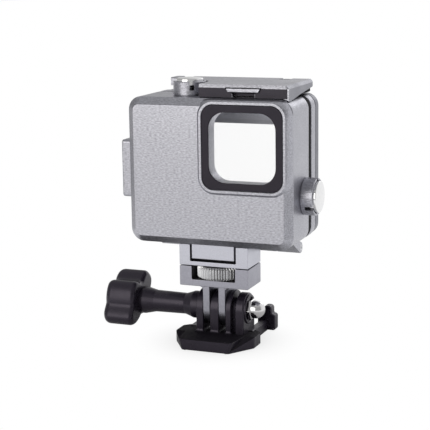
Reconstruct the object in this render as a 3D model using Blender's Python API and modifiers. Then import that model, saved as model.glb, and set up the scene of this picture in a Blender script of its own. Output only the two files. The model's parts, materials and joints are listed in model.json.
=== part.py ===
"""Waterproof metal housing for an action camera, on a tilt mount with a quick-release buckle.

Units are metres, +Z is up, the lens looks along -Y and the thumbscrew points to -X.
The origin lies on the buckle's underside, straight below the tilt axis.
"""

import math

import bmesh
import bpy
from mathutils import Matrix

# Clearances
SEAT = 0.0001
GAP = 0.0003
RUNNING = 0.00008
RING_SPLIT = 0.0004

# Three-prong tilt joint
PIVOT_HEIGHT = 0.0143
PRONG = 0.0030
PRONG_SLOT = 0.0031
EAR_RADIUS = 0.0075
BOLT_RADIUS = 0.00245

# Quick-release buckle
BASE_THICK = 0.0049
BASE_NOSE = 0.0190
NOSE_WIDTH = 0.0202
DECK_NOSE = 0.0234
DECK_DEPTH = 0.0024
DECK_LIP = 0.0001
BASE_WIDTH = 0.0346
SHOULDER_FRONT = 0.0080
SHOULDER_LENGTH = 0.0077
TONGUE_WIDTH = 0.0196
TONGUE_BACK = 0.0105
ARM_SLOT = 0.0013
ARM_WIDTH = 0.0030
ARM_HEIGHT = 0.0052
TAB_BACK = 0.0222
TAB_LENGTH = 0.0044
TAB_HEIGHT = 0.0106
TAB_STEP = 0.0065
TAB_WAIST = 0.0024
RAIL_LIFT = 0.0005
RAMP_START = 0.0009
NUT_BLOCK = 0.0046
NUT_BLOCK_RADIUS = 0.0068
NUT_FLATS = 0.0080
NUT_POCKET = 0.0026
DOME_RADIUS = 0.0037
DOME_REACH = 0.0098

# Thumbscrew
KNOB_RADIUS = 0.0124
KNOB_FLUTE = 0.0027
KNOB_LOBES = 5
KNOB_LEAD = 213.0
KNOB_EDGE = 0.0020
KNOB_THICK = 0.0122
KNOB_REACH = 0.0369
NECK_RADIUS = 0.0057
NECK_LENGTH = 0.0029
NECK_TAPER = 0.0047
SLEEVE_RADIUS = 0.0044
FLANGE_RADIUS = 0.0057
FLANGE_LENGTH = 0.0076

# Tilt mount with its 1/4 inch thumbwheel
MOUNT_WIDTH = 0.0300
MOUNT_DEPTH = 0.01525
MOUNT_DROP = 0.0099
MOUNT_BASE_HEIGHT = 0.0083
MOUNT_FLOOR = 0.0027
ROOT_FILLET = 0.0015
BRACKET_HEIGHT = 0.0093
BRACKET_WEB = 0.0018
FOOT_WIDTH = 0.0192
FOOT_GAP = 0.0005
WHEEL_RADIUS = 0.0090
WHEEL_TEETH = 48
WHEEL_TOOTH = 0.00045
STUD_RADIUS = 0.0030
STUD_REACH = 0.0060
MOUNT_SCREW_RADIUS = 0.0014
MOUNT_SCREW_HEAD = 0.0023
MOUNT_SCREW_LENGTH = 0.0125

# Case
CASE_WIDTH = 0.0702
CASE_HEIGHT = 0.0597
CASE_CORNER = 0.0055
CASE_CHAMFER = 0.0030
FRONT_DEPTH = 0.0228
MOUNT_SETBACK = 0.0060
SIDE_WALL = 0.0030
TOP_WALL = 0.0050
BOTTOM_WALL = 0.0060
FRONT_WALL = 0.0030
BAY_CORNER = 0.0035

# Lens port
PORT_SIDE = 0.0342
PORT_CORNER = 0.0062
PORT_FROM_RIGHT = 0.02015
PORT_FROM_TOP = 0.0191
PORT_RIM = 0.00165
PORT_RISE = 0.0009
PORT_TAPER = 0.0016
PORT_BLEND = 0.0036
PORT_DEPTH = 0.0062
OPENING_SIDE = 0.0281
OPENING_CORNER = 0.0047
BEZEL_THICK = 0.0013
BEZEL_SINK = 0.0002
GLASS_LEDGE = 0.0016
GLASS_THICK = 0.0016
LENS_SEAL_THICK = 0.0005

# Rear door
SEAL_GAP = 0.0022
SEAL_INSET = 0.00025
DOOR_DEPTH = 0.0075
COVER_DEPTH = 0.0051
COVER_INSET = 0.0003
COVER_CHAMFER = 0.0012
WINDOW_WIDTH = 0.0510
WINDOW_HEIGHT = 0.0343
WINDOW_FROM_TOP = 0.0138
WINDOW_CORNER = 0.0030
WINDOW_LEDGE = 0.0020
WINDOW_THICK = 0.0016
WINDOW_SEAL_THICK = 0.0005
COVER_SCREW_RADIUS = 0.0008
COVER_SCREW_HEAD = 0.0014
COVER_SCREW_SPREAD = 0.0560
COVER_SCREW_LENGTH = 0.0060

# Door hinge
HINGE_DROP = 0.0033
KNUCKLE_RADIUS = 0.0023
HINGE_WIDTH = 0.0620
CASE_KNUCKLE = 0.0100
LUG_LENGTH = 0.0065
LUG_GAP = 0.0012
HINGE_PIN_RADIUS = 0.0009

# Latch
LATCH_FRONT = 0.0042
LATCH_RIGHT = 0.0330
LATCH_SKIRT_LEFT = -0.0048
LATCH_STRIP_LEFT = -0.0276
LATCH_STRIP_DEPTH = 0.0095
LATCH_THICK = 0.0047
LATCH_LIFT = 0.0007
LATCH_SKIRT = 0.0005
LATCH_SKIRT_DEPTH = 0.0018
LATCH_BEVEL = 0.0015
LATCH_END_BEVEL = 0.0012
LATCH_RISE = 0.0018
LATCH_LEG = 0.0020
LATCH_LEG_DROP = 0.0009
LATCH_PIN_RADIUS = 0.0009
LATCH_LUG_WIDTH = 0.0040
LATCH_LUG_SPREAD = 0.0440
BUTTON_CUTOUT_GAP = 0.0008
CATCH_HEIGHT = 0.0004
CATCH_DEPTH = 0.0020
LOCK_WIDTH = 0.0146
LOCK_HEIGHT = 0.0019
LOCK_LENGTH = 0.0072
LOCK_LIP = 0.0008
LOCK_TOP = 0.0014
LOCK_LIP_HEIGHT = 0.0015
LOCK_LIP_TAPER = 0.0009
LOCK_RECESS_WIDTH = 0.0104
LOCK_RECESS_DEPTH = 0.0030
LOCK_SPRING_LENGTH = 0.0042

# Buttons
SHUTTER_X = -0.0127
SHUTTER_FROM_FRONT = 0.0140
SHUTTER_COLLAR_RADIUS = 0.0067
SHUTTER_COLLAR_HEIGHT = 0.0057
SHUTTER_CAP_RISE = 0.0015
SHUTTER_SLOT_ANGLE = -60.0
MODE_FROM_FRONT = 0.0182
MODE_FROM_BOTTOM = 0.0196
MODE_COLLAR_RADIUS = 0.0076
MODE_COLLAR_HEIGHT = 0.0052
MODE_CAP_RISE = 0.0015
MODE_SLOT_ANGLE = -45.0
COLLAR_WALL = 0.0009
SLOT_WIDTH = 0.0018
SLOT_DEPTH = 0.0035
SPIGOT_RADIUS = 0.0039
PLUNGER_RADIUS = 0.0015
GLAND_RADIUS = 0.0027
GLAND_DEPTH = 0.0014
BUTTON_TRAVEL = 0.0018
CLIP_THICK = 0.0005
CLIP_RADIUS = 0.0030

# Side block on the left wall
BLOCK_THICK = 0.0046
BLOCK_HEIGHT = 0.0237
BLOCK_DEPTH = 0.0150
BLOCK_FROM_FRONT = 0.0050
BLOCK_FROM_BOTTOM = 0.0177
BLOCK_SCREW_SPREAD = 0.0140
BLOCK_SCREW_RADIUS = 0.0010
BLOCK_SCREW_HEAD = 0.0019
BLOCK_SCREW_LENGTH = 0.0064

# Facets
CORNER_STEPS = 6
ROUND_STEPS = 28
SMALL_STEPS = 16
SMOOTH_ANGLE = math.radians(35)
OVERLAP = 0.0006
PAST = 0.0020

# Levels and places worked out from the sizes
MOUNT_BOTTOM = PIVOT_HEIGHT + MOUNT_DROP
MOUNT_TOP = MOUNT_BOTTOM + MOUNT_BASE_HEIGHT
BRACKET_BOTTOM = MOUNT_TOP + GAP
BRACKET_TOP = BRACKET_BOTTOM + BRACKET_HEIGHT
CASE_BOTTOM = BRACKET_TOP + GAP
CASE_TOP = CASE_BOTTOM + CASE_HEIGHT
CASE_MIDDLE = (CASE_BOTTOM + CASE_TOP) / 2
CASE_RIGHT = CASE_WIDTH / 2
CASE_FRONT = -MOUNT_DEPTH / 2 - MOUNT_SETBACK
CASE_BACK = CASE_FRONT + FRONT_DEPTH
DOOR_FRONT = CASE_BACK + SEAL_GAP
DOOR_BACK = DOOR_FRONT + DOOR_DEPTH
COVER_FRONT = DOOR_BACK + RING_SPLIT
COVER_BACK = COVER_FRONT + COVER_DEPTH
BAY_BOTTOM = CASE_BOTTOM + BOTTOM_WALL
BAY_TOP = CASE_TOP - TOP_WALL
PORT_X = CASE_RIGHT - PORT_FROM_RIGHT
PORT_Z = CASE_TOP - PORT_FROM_TOP
PORT_FRONT = CASE_FRONT - PORT_RISE
HINGE_Y = DOOR_FRONT
HINGE_Z = CASE_BOTTOM - HINGE_DROP
LATCH_BOTTOM = CASE_TOP + LATCH_LIFT
LATCH_TOP = LATCH_BOTTOM + LATCH_THICK
LATCH_BARREL = (LATCH_TOP - LATCH_BOTTOM) / 2
LATCH_Y = COVER_BACK - LATCH_BARREL + LATCH_SKIRT
LATCH_Z = LATCH_BOTTOM + LATCH_BARREL
LATCH_FRONT_Y = CASE_FRONT + LATCH_FRONT
LOCK_X = (LATCH_RIGHT + LATCH_SKIRT_LEFT) / 2
SHUTTER_Y = CASE_FRONT + SHUTTER_FROM_FRONT
MODE_Y = CASE_FRONT + MODE_FROM_FRONT
MODE_Z = CASE_BOTTOM + MODE_FROM_BOTTOM
PRONG_PITCH = PRONG + PRONG_SLOT
PRONGS_RIGHT = PRONG_PITCH + PRONG / 2


def clear_scene():
    for item in list(bpy.data.objects):
        bpy.data.objects.remove(item, do_unlink=True)


def new_collection(name):
    made = bpy.data.collections.new(name)
    bpy.context.scene.collection.children.link(made)
    return made


def finish(name, colour, roughness, metallic, alpha=1.0):
    """One Principled material with the piece's colour, roughness and metallic value."""
    made = bpy.data.materials.new(name)
    made.use_nodes = True
    shader = made.node_tree.nodes["Principled BSDF"]
    shader.inputs["Base Color"].default_value = (*colour, 1.0)
    shader.inputs["Roughness"].default_value = roughness
    shader.inputs["Metallic"].default_value = metallic
    shader.inputs["Alpha"].default_value = alpha
    return made


FINISHES = {
    "aluminium": ((0.50, 0.50, 0.52), 0.42, 1.0, 1.0),
    "silver": ((0.66, 0.66, 0.69), 0.38, 1.0, 1.0),
    "charcoal": ((0.045, 0.043, 0.052), 0.45, 0.0, 1.0),
    "steel": ((0.62, 0.62, 0.63), 0.25, 1.0, 1.0),
    "chrome": ((0.80, 0.80, 0.80), 0.08, 1.0, 1.0),
    "black_plastic": ((0.018, 0.017, 0.021), 0.40, 0.0, 1.0),
    "rubber": ((0.015, 0.015, 0.018), 0.70, 0.0, 1.0),
    "glass": ((0.95, 0.97, 0.98), 0.02, 0.0, 0.15),
}

# Outlines in a plane, as lists of (a, b) points


def arc(centre_a, centre_b, radius, start, end, steps):
    """Points along a circular arc, from start to end in degrees."""
    turn = [math.radians(start + (end - start) * i / steps) for i in range(steps + 1)]
    return [(centre_a + radius * math.cos(t), centre_b + radius * math.sin(t)) for t in turn]


def circle(centre_a, centre_b, radius, steps=SMALL_STEPS):
    return arc(centre_a, centre_b, radius, 0, 360 - 360 / steps, steps - 1)


def rectangle(low_a, high_a, low_b, high_b):
    return [(low_a, low_b), (high_a, low_b), (high_a, high_b), (low_a, high_b)]


def rounded(low_a, high_a, low_b, high_b, radius, steps=CORNER_STEPS):
    """Rectangle with its four corners rounded."""
    return (
        arc(high_a - radius, high_b - radius, radius, 0, 90, steps)
        + arc(low_a + radius, high_b - radius, radius, 90, 180, steps)
        + arc(low_a + radius, low_b + radius, radius, 180, 270, steps)
        + arc(high_a - radius, low_b + radius, radius, 270, 360, steps)
    )


def square(side, corner, centre_a, centre_b):
    half = side / 2
    return rounded(centre_a - half, centre_a + half, centre_b - half, centre_b + half, corner)


def teardrop(centre, radius, first, second, steps=16):
    """Straight edge from first to second, closed by tangents round a circle."""
    ends = []
    for point, side in ((second, -1), (first, 1)):
        across, up = point[0] - centre[0], point[1] - centre[1]
        lean = math.acos(min(1.0, radius / math.hypot(across, up)))
        ends.append(math.degrees(math.atan2(up, across) + side * lean))
    start, end = ends
    while end >= start:
        end -= 360
    return [first, second] + arc(*centre, radius, start, end, steps)


def lobes(centre, radius, flute, count, steps, lead):
    """Knob outline: a circle with count narrow flutes, midway between broad lobes; lead is one lobe's angle."""
    points = []
    for i in range(steps):
        turn = 2 * math.pi * i / steps
        dip = (0.5 - 0.5 * math.cos(count * (turn - lead))) ** 1.6
        reach = radius - flute * dip
        points.append((centre[0] + reach * math.cos(turn), centre[1] + reach * math.sin(turn)))
    return points


def hexagon(centre_a, centre_b, flats):
    return circle(centre_a, centre_b, flats / 2 / math.cos(math.pi / 6), 6)


# Solids as bmesh data

PLACE = {
    "X": lambda a, b, along: (along, a, b),
    "Y": lambda a, b, along: (a, along, b),
    "Z": lambda a, b, along: (a, b, along),
}


def prism(outline, low, high, along, low_bevel=0.0, high_bevel=0.0, bevel_steps=1):
    """Outline carried from low to high along an axis, with either end's edges bevelled."""
    place = PLACE[along]
    solid = bmesh.new()
    floor = solid.faces.new([solid.verts.new(place(a, b, low)) for a, b in outline])
    low_edges = list(floor.edges)
    swept = bmesh.ops.extrude_face_region(solid, geom=[floor])["geom"]
    raised = [item for item in swept if isinstance(item, bmesh.types.BMVert)]
    high_edges = [item for item in swept if isinstance(item, bmesh.types.BMEdge)]
    bmesh.ops.translate(solid, verts=raised, vec=place(0, 0, high - low))
    if not any(face.is_valid and set(face.verts).isdisjoint(raised) for face in solid.faces):
        solid.faces.new([vert for vert in solid.verts if vert not in set(raised)])
    bmesh.ops.recalc_face_normals(solid, faces=solid.faces)
    for edges, width in ((low_edges, low_bevel), (high_edges, high_bevel)):
        if width:
            bmesh.ops.bevel(
                solid, geom=edges, offset=width, offset_type="OFFSET",
                segments=bevel_steps, profile=0.5, affect="EDGES",
            )
    return solid


def frustum(low_outline, high_outline, low, high, along):
    """Loft between two outlines with as many points."""
    place = PLACE[along]
    solid = bmesh.new()
    first = [solid.verts.new(place(a, b, low)) for a, b in low_outline]
    last = [solid.verts.new(place(a, b, high)) for a, b in high_outline]
    solid.faces.new(first)
    solid.faces.new(last)
    for i in range(len(first)):
        j = (i + 1) % len(first)
        solid.faces.new([first[i], first[j], last[j], last[i]])
    bmesh.ops.recalc_face_normals(solid, faces=solid.faces)
    return solid


def box(low_x, high_x, low_y, high_y, low_z, high_z):
    """Cube primitive stretched between two corners."""
    solid = bmesh.new()
    size = (high_x - low_x, high_y - low_y, high_z - low_z)
    middle = ((low_x + high_x) / 2, (low_y + high_y) / 2, (low_z + high_z) / 2)
    stretch = Matrix.Translation(middle) @ Matrix.Diagonal((*size, 1.0))
    bmesh.ops.create_cube(solid, size=1.0, matrix=stretch)
    return solid


def rod(centre, radius, low, high, along, steps=SMALL_STEPS):
    return prism(circle(*centre, radius, steps), low, high, along)


# Objects

clear_scene()
PARTS = new_collection("action_camera_housing")
CUTTERS = new_collection("cutters")


def link_mesh(name, solid, collection):
    mesh = bpy.data.meshes.new(name)
    solid.to_mesh(mesh)
    solid.free()
    made = bpy.data.objects.new(name, mesh)
    collection.objects.link(made)
    return made


def smooth(made):
    made.data.shade_smooth()
    made.data.set_sharp_from_angle(angle=SMOOTH_ANGLE)


def pivot(name, place):
    """Empty on a joint's axis, which carries the pieces that move with that joint."""
    made = bpy.data.objects.new(name, None)
    made.empty_display_size = 0.005
    made.location = place
    PARTS.objects.link(made)
    return made


def carry(made, finish_name, joint):
    made.data.materials.append(finish(made.name, *FINISHES[finish_name]))
    if joint is not None:
        made.parent = joint
        made.matrix_parent_inverse = Matrix.Translation(joint.location).inverted()
    return made


def part(name, solid, finish_name, joint=None):
    made = link_mesh(name, solid, PARTS)
    smooth(made)
    return carry(made, finish_name, joint)


def boolean(made, solid, operation, place=None):
    tool = link_mesh(f"{made.name}_{operation.lower()}_{len(made.modifiers)}", solid, CUTTERS)
    if place is not None:
        tool.matrix_world = place
    tool.hide_render = True
    tool.display_type = "WIRE"
    step = made.modifiers.new(operation.title(), "BOOLEAN")
    step.operation = operation
    step.object = tool
    return tool


def cut(made, *solids, place=None):
    for solid in solids:
        boolean(made, solid, "DIFFERENCE", place)


def join(made, *solids):
    for solid in solids:
        boolean(made, solid, "UNION")


def turned(name, profile, finish_name, joint, place, closed=False, steps=ROUND_STEPS):
    """Profile of (radius, height) points, outer side first from the top, turned about local Z."""
    mesh = bpy.data.meshes.new(name)
    edges = [(i, i + 1) for i in range(len(profile) - 1)]
    if closed:
        edges.append((len(profile) - 1, 0))
    mesh.from_pydata([(r, 0, h) for r, h in profile], edges, [])
    made = bpy.data.objects.new(name, mesh)
    PARTS.objects.link(made)
    screw = made.modifiers.new("Screw", "SCREW")
    screw.axis = "Z"
    screw.angle = 2 * math.pi
    screw.steps = steps
    screw.render_steps = steps
    screw.use_merge_vertices = True
    screw.merge_threshold = 0.00001
    screw.use_smooth_shade = True
    made.matrix_world = place
    carry(made, finish_name, joint)
    return made


def coil(name, radius, wire, low, high, turns, joint, place):
    """Compression spring: a helix from low to high about local Z, with a round wire."""
    per_turn = 10
    curve = bpy.data.curves.new(name, "CURVE")
    curve.dimensions = "3D"
    curve.bevel_depth = wire
    curve.bevel_resolution = 1
    curve.use_fill_caps = True
    line = curve.splines.new("POLY")
    count = turns * per_turn + 1
    line.points.add(count - 1)
    for i, point in enumerate(line.points):
        turn = 2 * math.pi * i / per_turn
        height = low + wire + (high - low - 2 * wire) * i / (count - 1)
        point.co = (radius * math.cos(turn), radius * math.sin(turn), height, 1.0)
    made = bpy.data.objects.new(name, curve)
    PARTS.objects.link(made)
    made.matrix_world = place
    return carry(made, "steel", joint)


TILT = pivot("tilt_axis", (0, 0, PIVOT_HEIGHT))
KNOB_AXIS = pivot("thumbscrew_axis", (0, 0, PIVOT_HEIGHT))
WHEEL_AXIS = pivot("thumbwheel_axis", (0, 0, MOUNT_BOTTOM))
DOOR_AXIS = pivot("door_axis", (0, HINGE_Y, HINGE_Z))
LATCH_AXIS = pivot("latch_axis", (0, LATCH_Y, LATCH_Z))
LOCK_AXIS = pivot("lock_axis", (LOCK_X, LATCH_FRONT_Y, LATCH_Z))
SHUTTER_AXIS = pivot("shutter_axis", (SHUTTER_X, SHUTTER_Y, CASE_TOP))
MODE_AXIS = pivot("mode_axis", (CASE_RIGHT, MODE_Y, MODE_Z))


def buckle():
    """Slide-in base with squeeze arms, three prongs and the nut block."""
    nose, half = NOSE_WIDTH / 2, BASE_WIDTH / 2
    tongue = TONGUE_WIDTH / 2
    shoulder_back = -SHOULDER_FRONT + SHOULDER_LENGTH
    waist = tongue + ARM_SLOT + ARM_WIDTH
    right = [
        (nose, -BASE_NOSE + DECK_LIP), (half, -SHOULDER_FRONT), (half, shoulder_back),
        (waist, shoulder_back + (half - waist)), (tongue, shoulder_back + (half - waist)),
        (tongue, TONGUE_BACK),
    ]
    outline = right + [(-a, b) for a, b in reversed(right)]
    made = part("buckle", prism(outline, 0, BASE_THICK - DECK_LIP, "Z"), "black_plastic")
    nose_front = -BASE_NOSE
    ramp = [(nose_front - PAST, RAMP_START), (nose_front, RAMP_START), (-SHOULDER_FRONT, BASE_THICK),
            (-SHOULDER_FRONT, BASE_THICK + PAST), (nose_front - PAST, BASE_THICK + PAST)]
    for side in (-1, 1):
        low, high = sorted((side * DECK_NOSE / 2, side * (half + PAST)))
        cut(made, prism(ramp, low, high, "X"))
    deck_right = [(DECK_NOSE / 2, nose_front), (waist, shoulder_back)]
    deck = deck_right + [(-a, b) for a, b in reversed(deck_right)]
    join(made, prism(deck, BASE_THICK - DECK_DEPTH, BASE_THICK, "Z", high_bevel=RAIL_LIFT / 2))
    arm_front = shoulder_back - OVERLAP
    for side in (-1, 1):
        inner, outer = side * (tongue + ARM_SLOT), side * waist
        tip = side * half
        low, high = sorted((inner, outer))
        join(made, box(low, high, arm_front, TAB_BACK - TAB_LENGTH + OVERLAP, RAIL_LIFT, ARM_HEIGHT))
        step, top = RAIL_LIFT + TAB_STEP, RAIL_LIFT + TAB_HEIGHT
        hump = tip - side * TAB_WAIST
        round_off = side * TAB_WAIST / 2
        grip = [(inner, RAIL_LIFT), (tip, RAIL_LIFT), (tip, step), (hump, step + RAIL_LIFT), (hump, top - TAB_WAIST / 2),
                (hump - round_off, top), (inner, top)]
        join(made, prism(grip, TAB_BACK - TAB_LENGTH, TAB_BACK, "Y", RAIL_LIFT, RAIL_LIFT))
    foot = BASE_THICK - OVERLAP
    ear = teardrop((0, PIVOT_HEIGHT), EAR_RADIUS, (EAR_RADIUS, foot), (-EAR_RADIUS, foot))
    for place in (-PRONG_PITCH, 0, PRONG_PITCH):
        join(made, prism(ear, place - PRONG / 2, place + PRONG / 2, "X"))
    holder = teardrop((0, PIVOT_HEIGHT), NUT_BLOCK_RADIUS, (NUT_BLOCK_RADIUS, foot), (-NUT_BLOCK_RADIUS, foot))
    block_end = PRONGS_RIGHT + NUT_BLOCK
    join(made, prism(holder, PRONGS_RIGHT - OVERLAP, block_end, "X", high_bevel=NUT_BLOCK / 6))
    axis = (0, PIVOT_HEIGHT)
    cut(made, rod(axis, BOLT_RADIUS + RUNNING * 2, -PRONGS_RIGHT - PAST, block_end + PAST, "X"))
    pocket = hexagon(*axis, NUT_FLATS + 2 * GAP)
    cut(made, prism(pocket, block_end - NUT_POCKET, block_end + PAST, "X"))


def cap_nut():
    """Chrome domed nut: a hexagon in the buckle's pocket with a dome outside it."""
    low = PRONGS_RIGHT + NUT_BLOCK - NUT_POCKET + GAP
    shoulder = PRONGS_RIGHT + NUT_BLOCK + NUT_POCKET / 2
    axis = (0, PIVOT_HEIGHT)
    made = part("cap_nut", prism(hexagon(*axis, NUT_FLATS), low, shoulder, "X", high_bevel=GAP), "chrome")
    reach = PRONGS_RIGHT + DOME_REACH
    dome_start = reach - DOME_RADIUS
    dome = bmesh.new()
    bmesh.ops.create_uvsphere(dome, u_segments=SMALL_STEPS, v_segments=SMALL_STEPS // 2, radius=DOME_RADIUS)
    turn = Matrix.Translation((dome_start, 0, PIVOT_HEIGHT)) @ Matrix.Rotation(math.pi / 2, 4, "Y")
    bmesh.ops.transform(dome, matrix=turn, verts=dome.verts)
    join(made, rod(axis, DOME_RADIUS, shoulder - OVERLAP, dome_start, "X"), dome)
    cut(made, rod(axis, BOLT_RADIUS + RUNNING, low - PAST, dome_start, "X"))


def thumbscrew():
    """Five-lobed knob with its long sleeve, and the steel bolt moulded into it."""
    axis = (0, PIVOT_HEIGHT)
    face = -PRONGS_RIGHT - GAP
    knob_in, knob_out = -KNOB_REACH, -KNOB_REACH - KNOB_THICK
    outline = lobes(axis, KNOB_RADIUS, KNOB_FLUTE, KNOB_LOBES, 50, math.radians(KNOB_LEAD))
    knob = part("thumb_knob", prism(outline, knob_out, knob_in, "X", KNOB_EDGE, KNOB_EDGE, 2),
                "black_plastic", KNOB_AXIS)
    taper = knob_in + NECK_LENGTH
    neck_end = taper + NECK_TAPER
    join(knob, rod(axis, NECK_RADIUS, knob_in - OVERLAP, taper, "X", ROUND_STEPS))
    join(knob, frustum(circle(*axis, NECK_RADIUS - SEAT, ROUND_STEPS), circle(*axis, SLEEVE_RADIUS + SEAT, ROUND_STEPS),
                       taper - OVERLAP, neck_end, "X"))
    flange = face - FLANGE_LENGTH
    join(knob, rod(axis, SLEEVE_RADIUS, neck_end - OVERLAP, flange + OVERLAP, "X", ROUND_STEPS))
    middle = flange + FLANGE_LENGTH / 2
    join(knob, frustum(circle(*axis, SLEEVE_RADIUS - SEAT, ROUND_STEPS), circle(*axis, FLANGE_RADIUS - SEAT, ROUND_STEPS),
                       flange, middle, "X"))
    join(knob, rod(axis, FLANGE_RADIUS, middle - OVERLAP, face, "X", ROUND_STEPS))
    bolt_start = knob_in - KNOB_THICK / 2
    cut(knob, rod(axis, BOLT_RADIUS + RUNNING, bolt_start - SEAT, face + PAST, "X"))
    bolt_end = PRONGS_RIGHT + DOME_REACH - DOME_RADIUS - GAP
    part("thumb_bolt", rod(axis, BOLT_RADIUS, bolt_start, bolt_end, "X"), "steel", KNOB_AXIS)


def mount():
    """U bracket round the case's foot, the prong block below it, its thumbwheel and screws."""
    half, depth = MOUNT_WIDTH / 2, MOUNT_DEPTH / 2
    window = WHEEL_RADIUS + GAP
    floor = MOUNT_BOTTOM + MOUNT_FLOOR
    base = part("mount_base", prism(rectangle(-half, half, -depth, depth), MOUNT_BOTTOM, MOUNT_TOP, "Z"),
                "aluminium", TILT)
    cut(base, box(-window, window, -depth - PAST, depth + PAST, floor, MOUNT_TOP + PAST))
    root = MOUNT_BOTTOM + OVERLAP
    prong = (PRONG_SLOT - 2 * SEAT) / 2
    inner, outer = PRONG_PITCH / 2 - prong, PRONG_PITCH / 2 + prong
    ear = teardrop((0, PIVOT_HEIGHT), EAR_RADIUS, (-EAR_RADIUS, root), (EAR_RADIUS, root))
    for side in (-1, 1):
        low, high = sorted((side * inner, side * outer))
        join(base, prism(ear, low, high, "X"))
        corner = (side * (outer + ROOT_FILLET), MOUNT_BOTTOM - ROOT_FILLET)
        start, end = (180, 90) if side > 0 else (0, 90)
        fillet = arc(*corner, ROOT_FILLET, start, end, CORNER_STEPS)
        fillet += [(corner[0], root), (side * (outer - OVERLAP), root),
                   (side * (outer - OVERLAP), MOUNT_BOTTOM - ROOT_FILLET)]
        join(base, prism(fillet, -EAR_RADIUS, EAR_RADIUS, "Y"))
    cut(base, rod((0, PIVOT_HEIGHT), BOLT_RADIUS + RUNNING * 2, -half, half, "X"))

    bracket = part("mount_bracket", prism(rectangle(-half, half, -depth, depth), BRACKET_BOTTOM, BRACKET_TOP, "Z"),
                   "silver", TILT)
    slot = FOOT_WIDTH / 2 + FOOT_GAP
    cut(bracket, box(-slot, slot, -depth - PAST, depth + PAST, BRACKET_BOTTOM + BRACKET_WEB, BRACKET_TOP + PAST))
    cut(bracket, rod((0, 0), STUD_RADIUS + GAP, BRACKET_BOTTOM - PAST, BRACKET_BOTTOM + BRACKET_WEB + PAST, "Z"))

    wheel_low, wheel_high = floor + GAP, MOUNT_TOP
    teeth = [(WHEEL_RADIUS - WHEEL_TOOTH * (i % 2), math.pi * i / WHEEL_TEETH) for i in range(2 * WHEEL_TEETH)]
    rim = [(r * math.cos(t), r * math.sin(t)) for r, t in teeth]
    wheel = part("thumbwheel", prism(rim, wheel_low, wheel_high, "Z", 2 * WHEEL_TOOTH, 2 * WHEEL_TOOTH),
                 "steel", WHEEL_AXIS)
    cut(wheel, rod((0, 0), STUD_RADIUS + SEAT, wheel_low - PAST, wheel_high + PAST, "Z"))
    foot_bottom = BRACKET_BOTTOM + BRACKET_WEB + FOOT_GAP
    part("mount_stud", rod((0, 0), STUD_RADIUS, wheel_low, foot_bottom + STUD_REACH, "Z"), "steel", WHEEL_AXIS)

    place = (window + half) / 2
    top = MOUNT_BOTTOM + MOUNT_SCREW_LENGTH
    head = MOUNT_SCREW_HEAD - MOUNT_SCREW_RADIUS
    for name, side in (("mount_screw_left", -1), ("mount_screw_right", 1)):
        at = (side * place, 0)
        for holder in (base, bracket):
            cut(holder, rod(at, MOUNT_SCREW_RADIUS + SEAT, MOUNT_BOTTOM - PAST, top + GAP, "Z"))
        cut(base, frustum(circle(*at, MOUNT_SCREW_HEAD + SEAT + head), circle(*at, MOUNT_SCREW_RADIUS + SEAT),
                          MOUNT_BOTTOM - head, MOUNT_BOTTOM + head + SEAT, "Z"))
        screw = part(name, rod(at, MOUNT_SCREW_RADIUS, MOUNT_BOTTOM + SEAT, top, "Z"), "steel", TILT)
        join(screw, frustum(circle(*at, MOUNT_SCREW_HEAD - SEAT), circle(*at, MOUNT_SCREW_RADIUS - SEAT),
                            MOUNT_BOTTOM + SEAT, MOUNT_BOTTOM + head, "Z"))


def case_outline(inset=0.0):
    right = CASE_RIGHT - inset
    return rounded(-right, right, CASE_BOTTOM + inset, CASE_TOP - inset, CASE_CORNER - inset)


def bay_outline(wider=0.0):
    side = CASE_RIGHT - SIDE_WALL + wider
    return rounded(-side, side, BAY_BOTTOM - wider, BAY_TOP + wider, BAY_CORNER)


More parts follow.
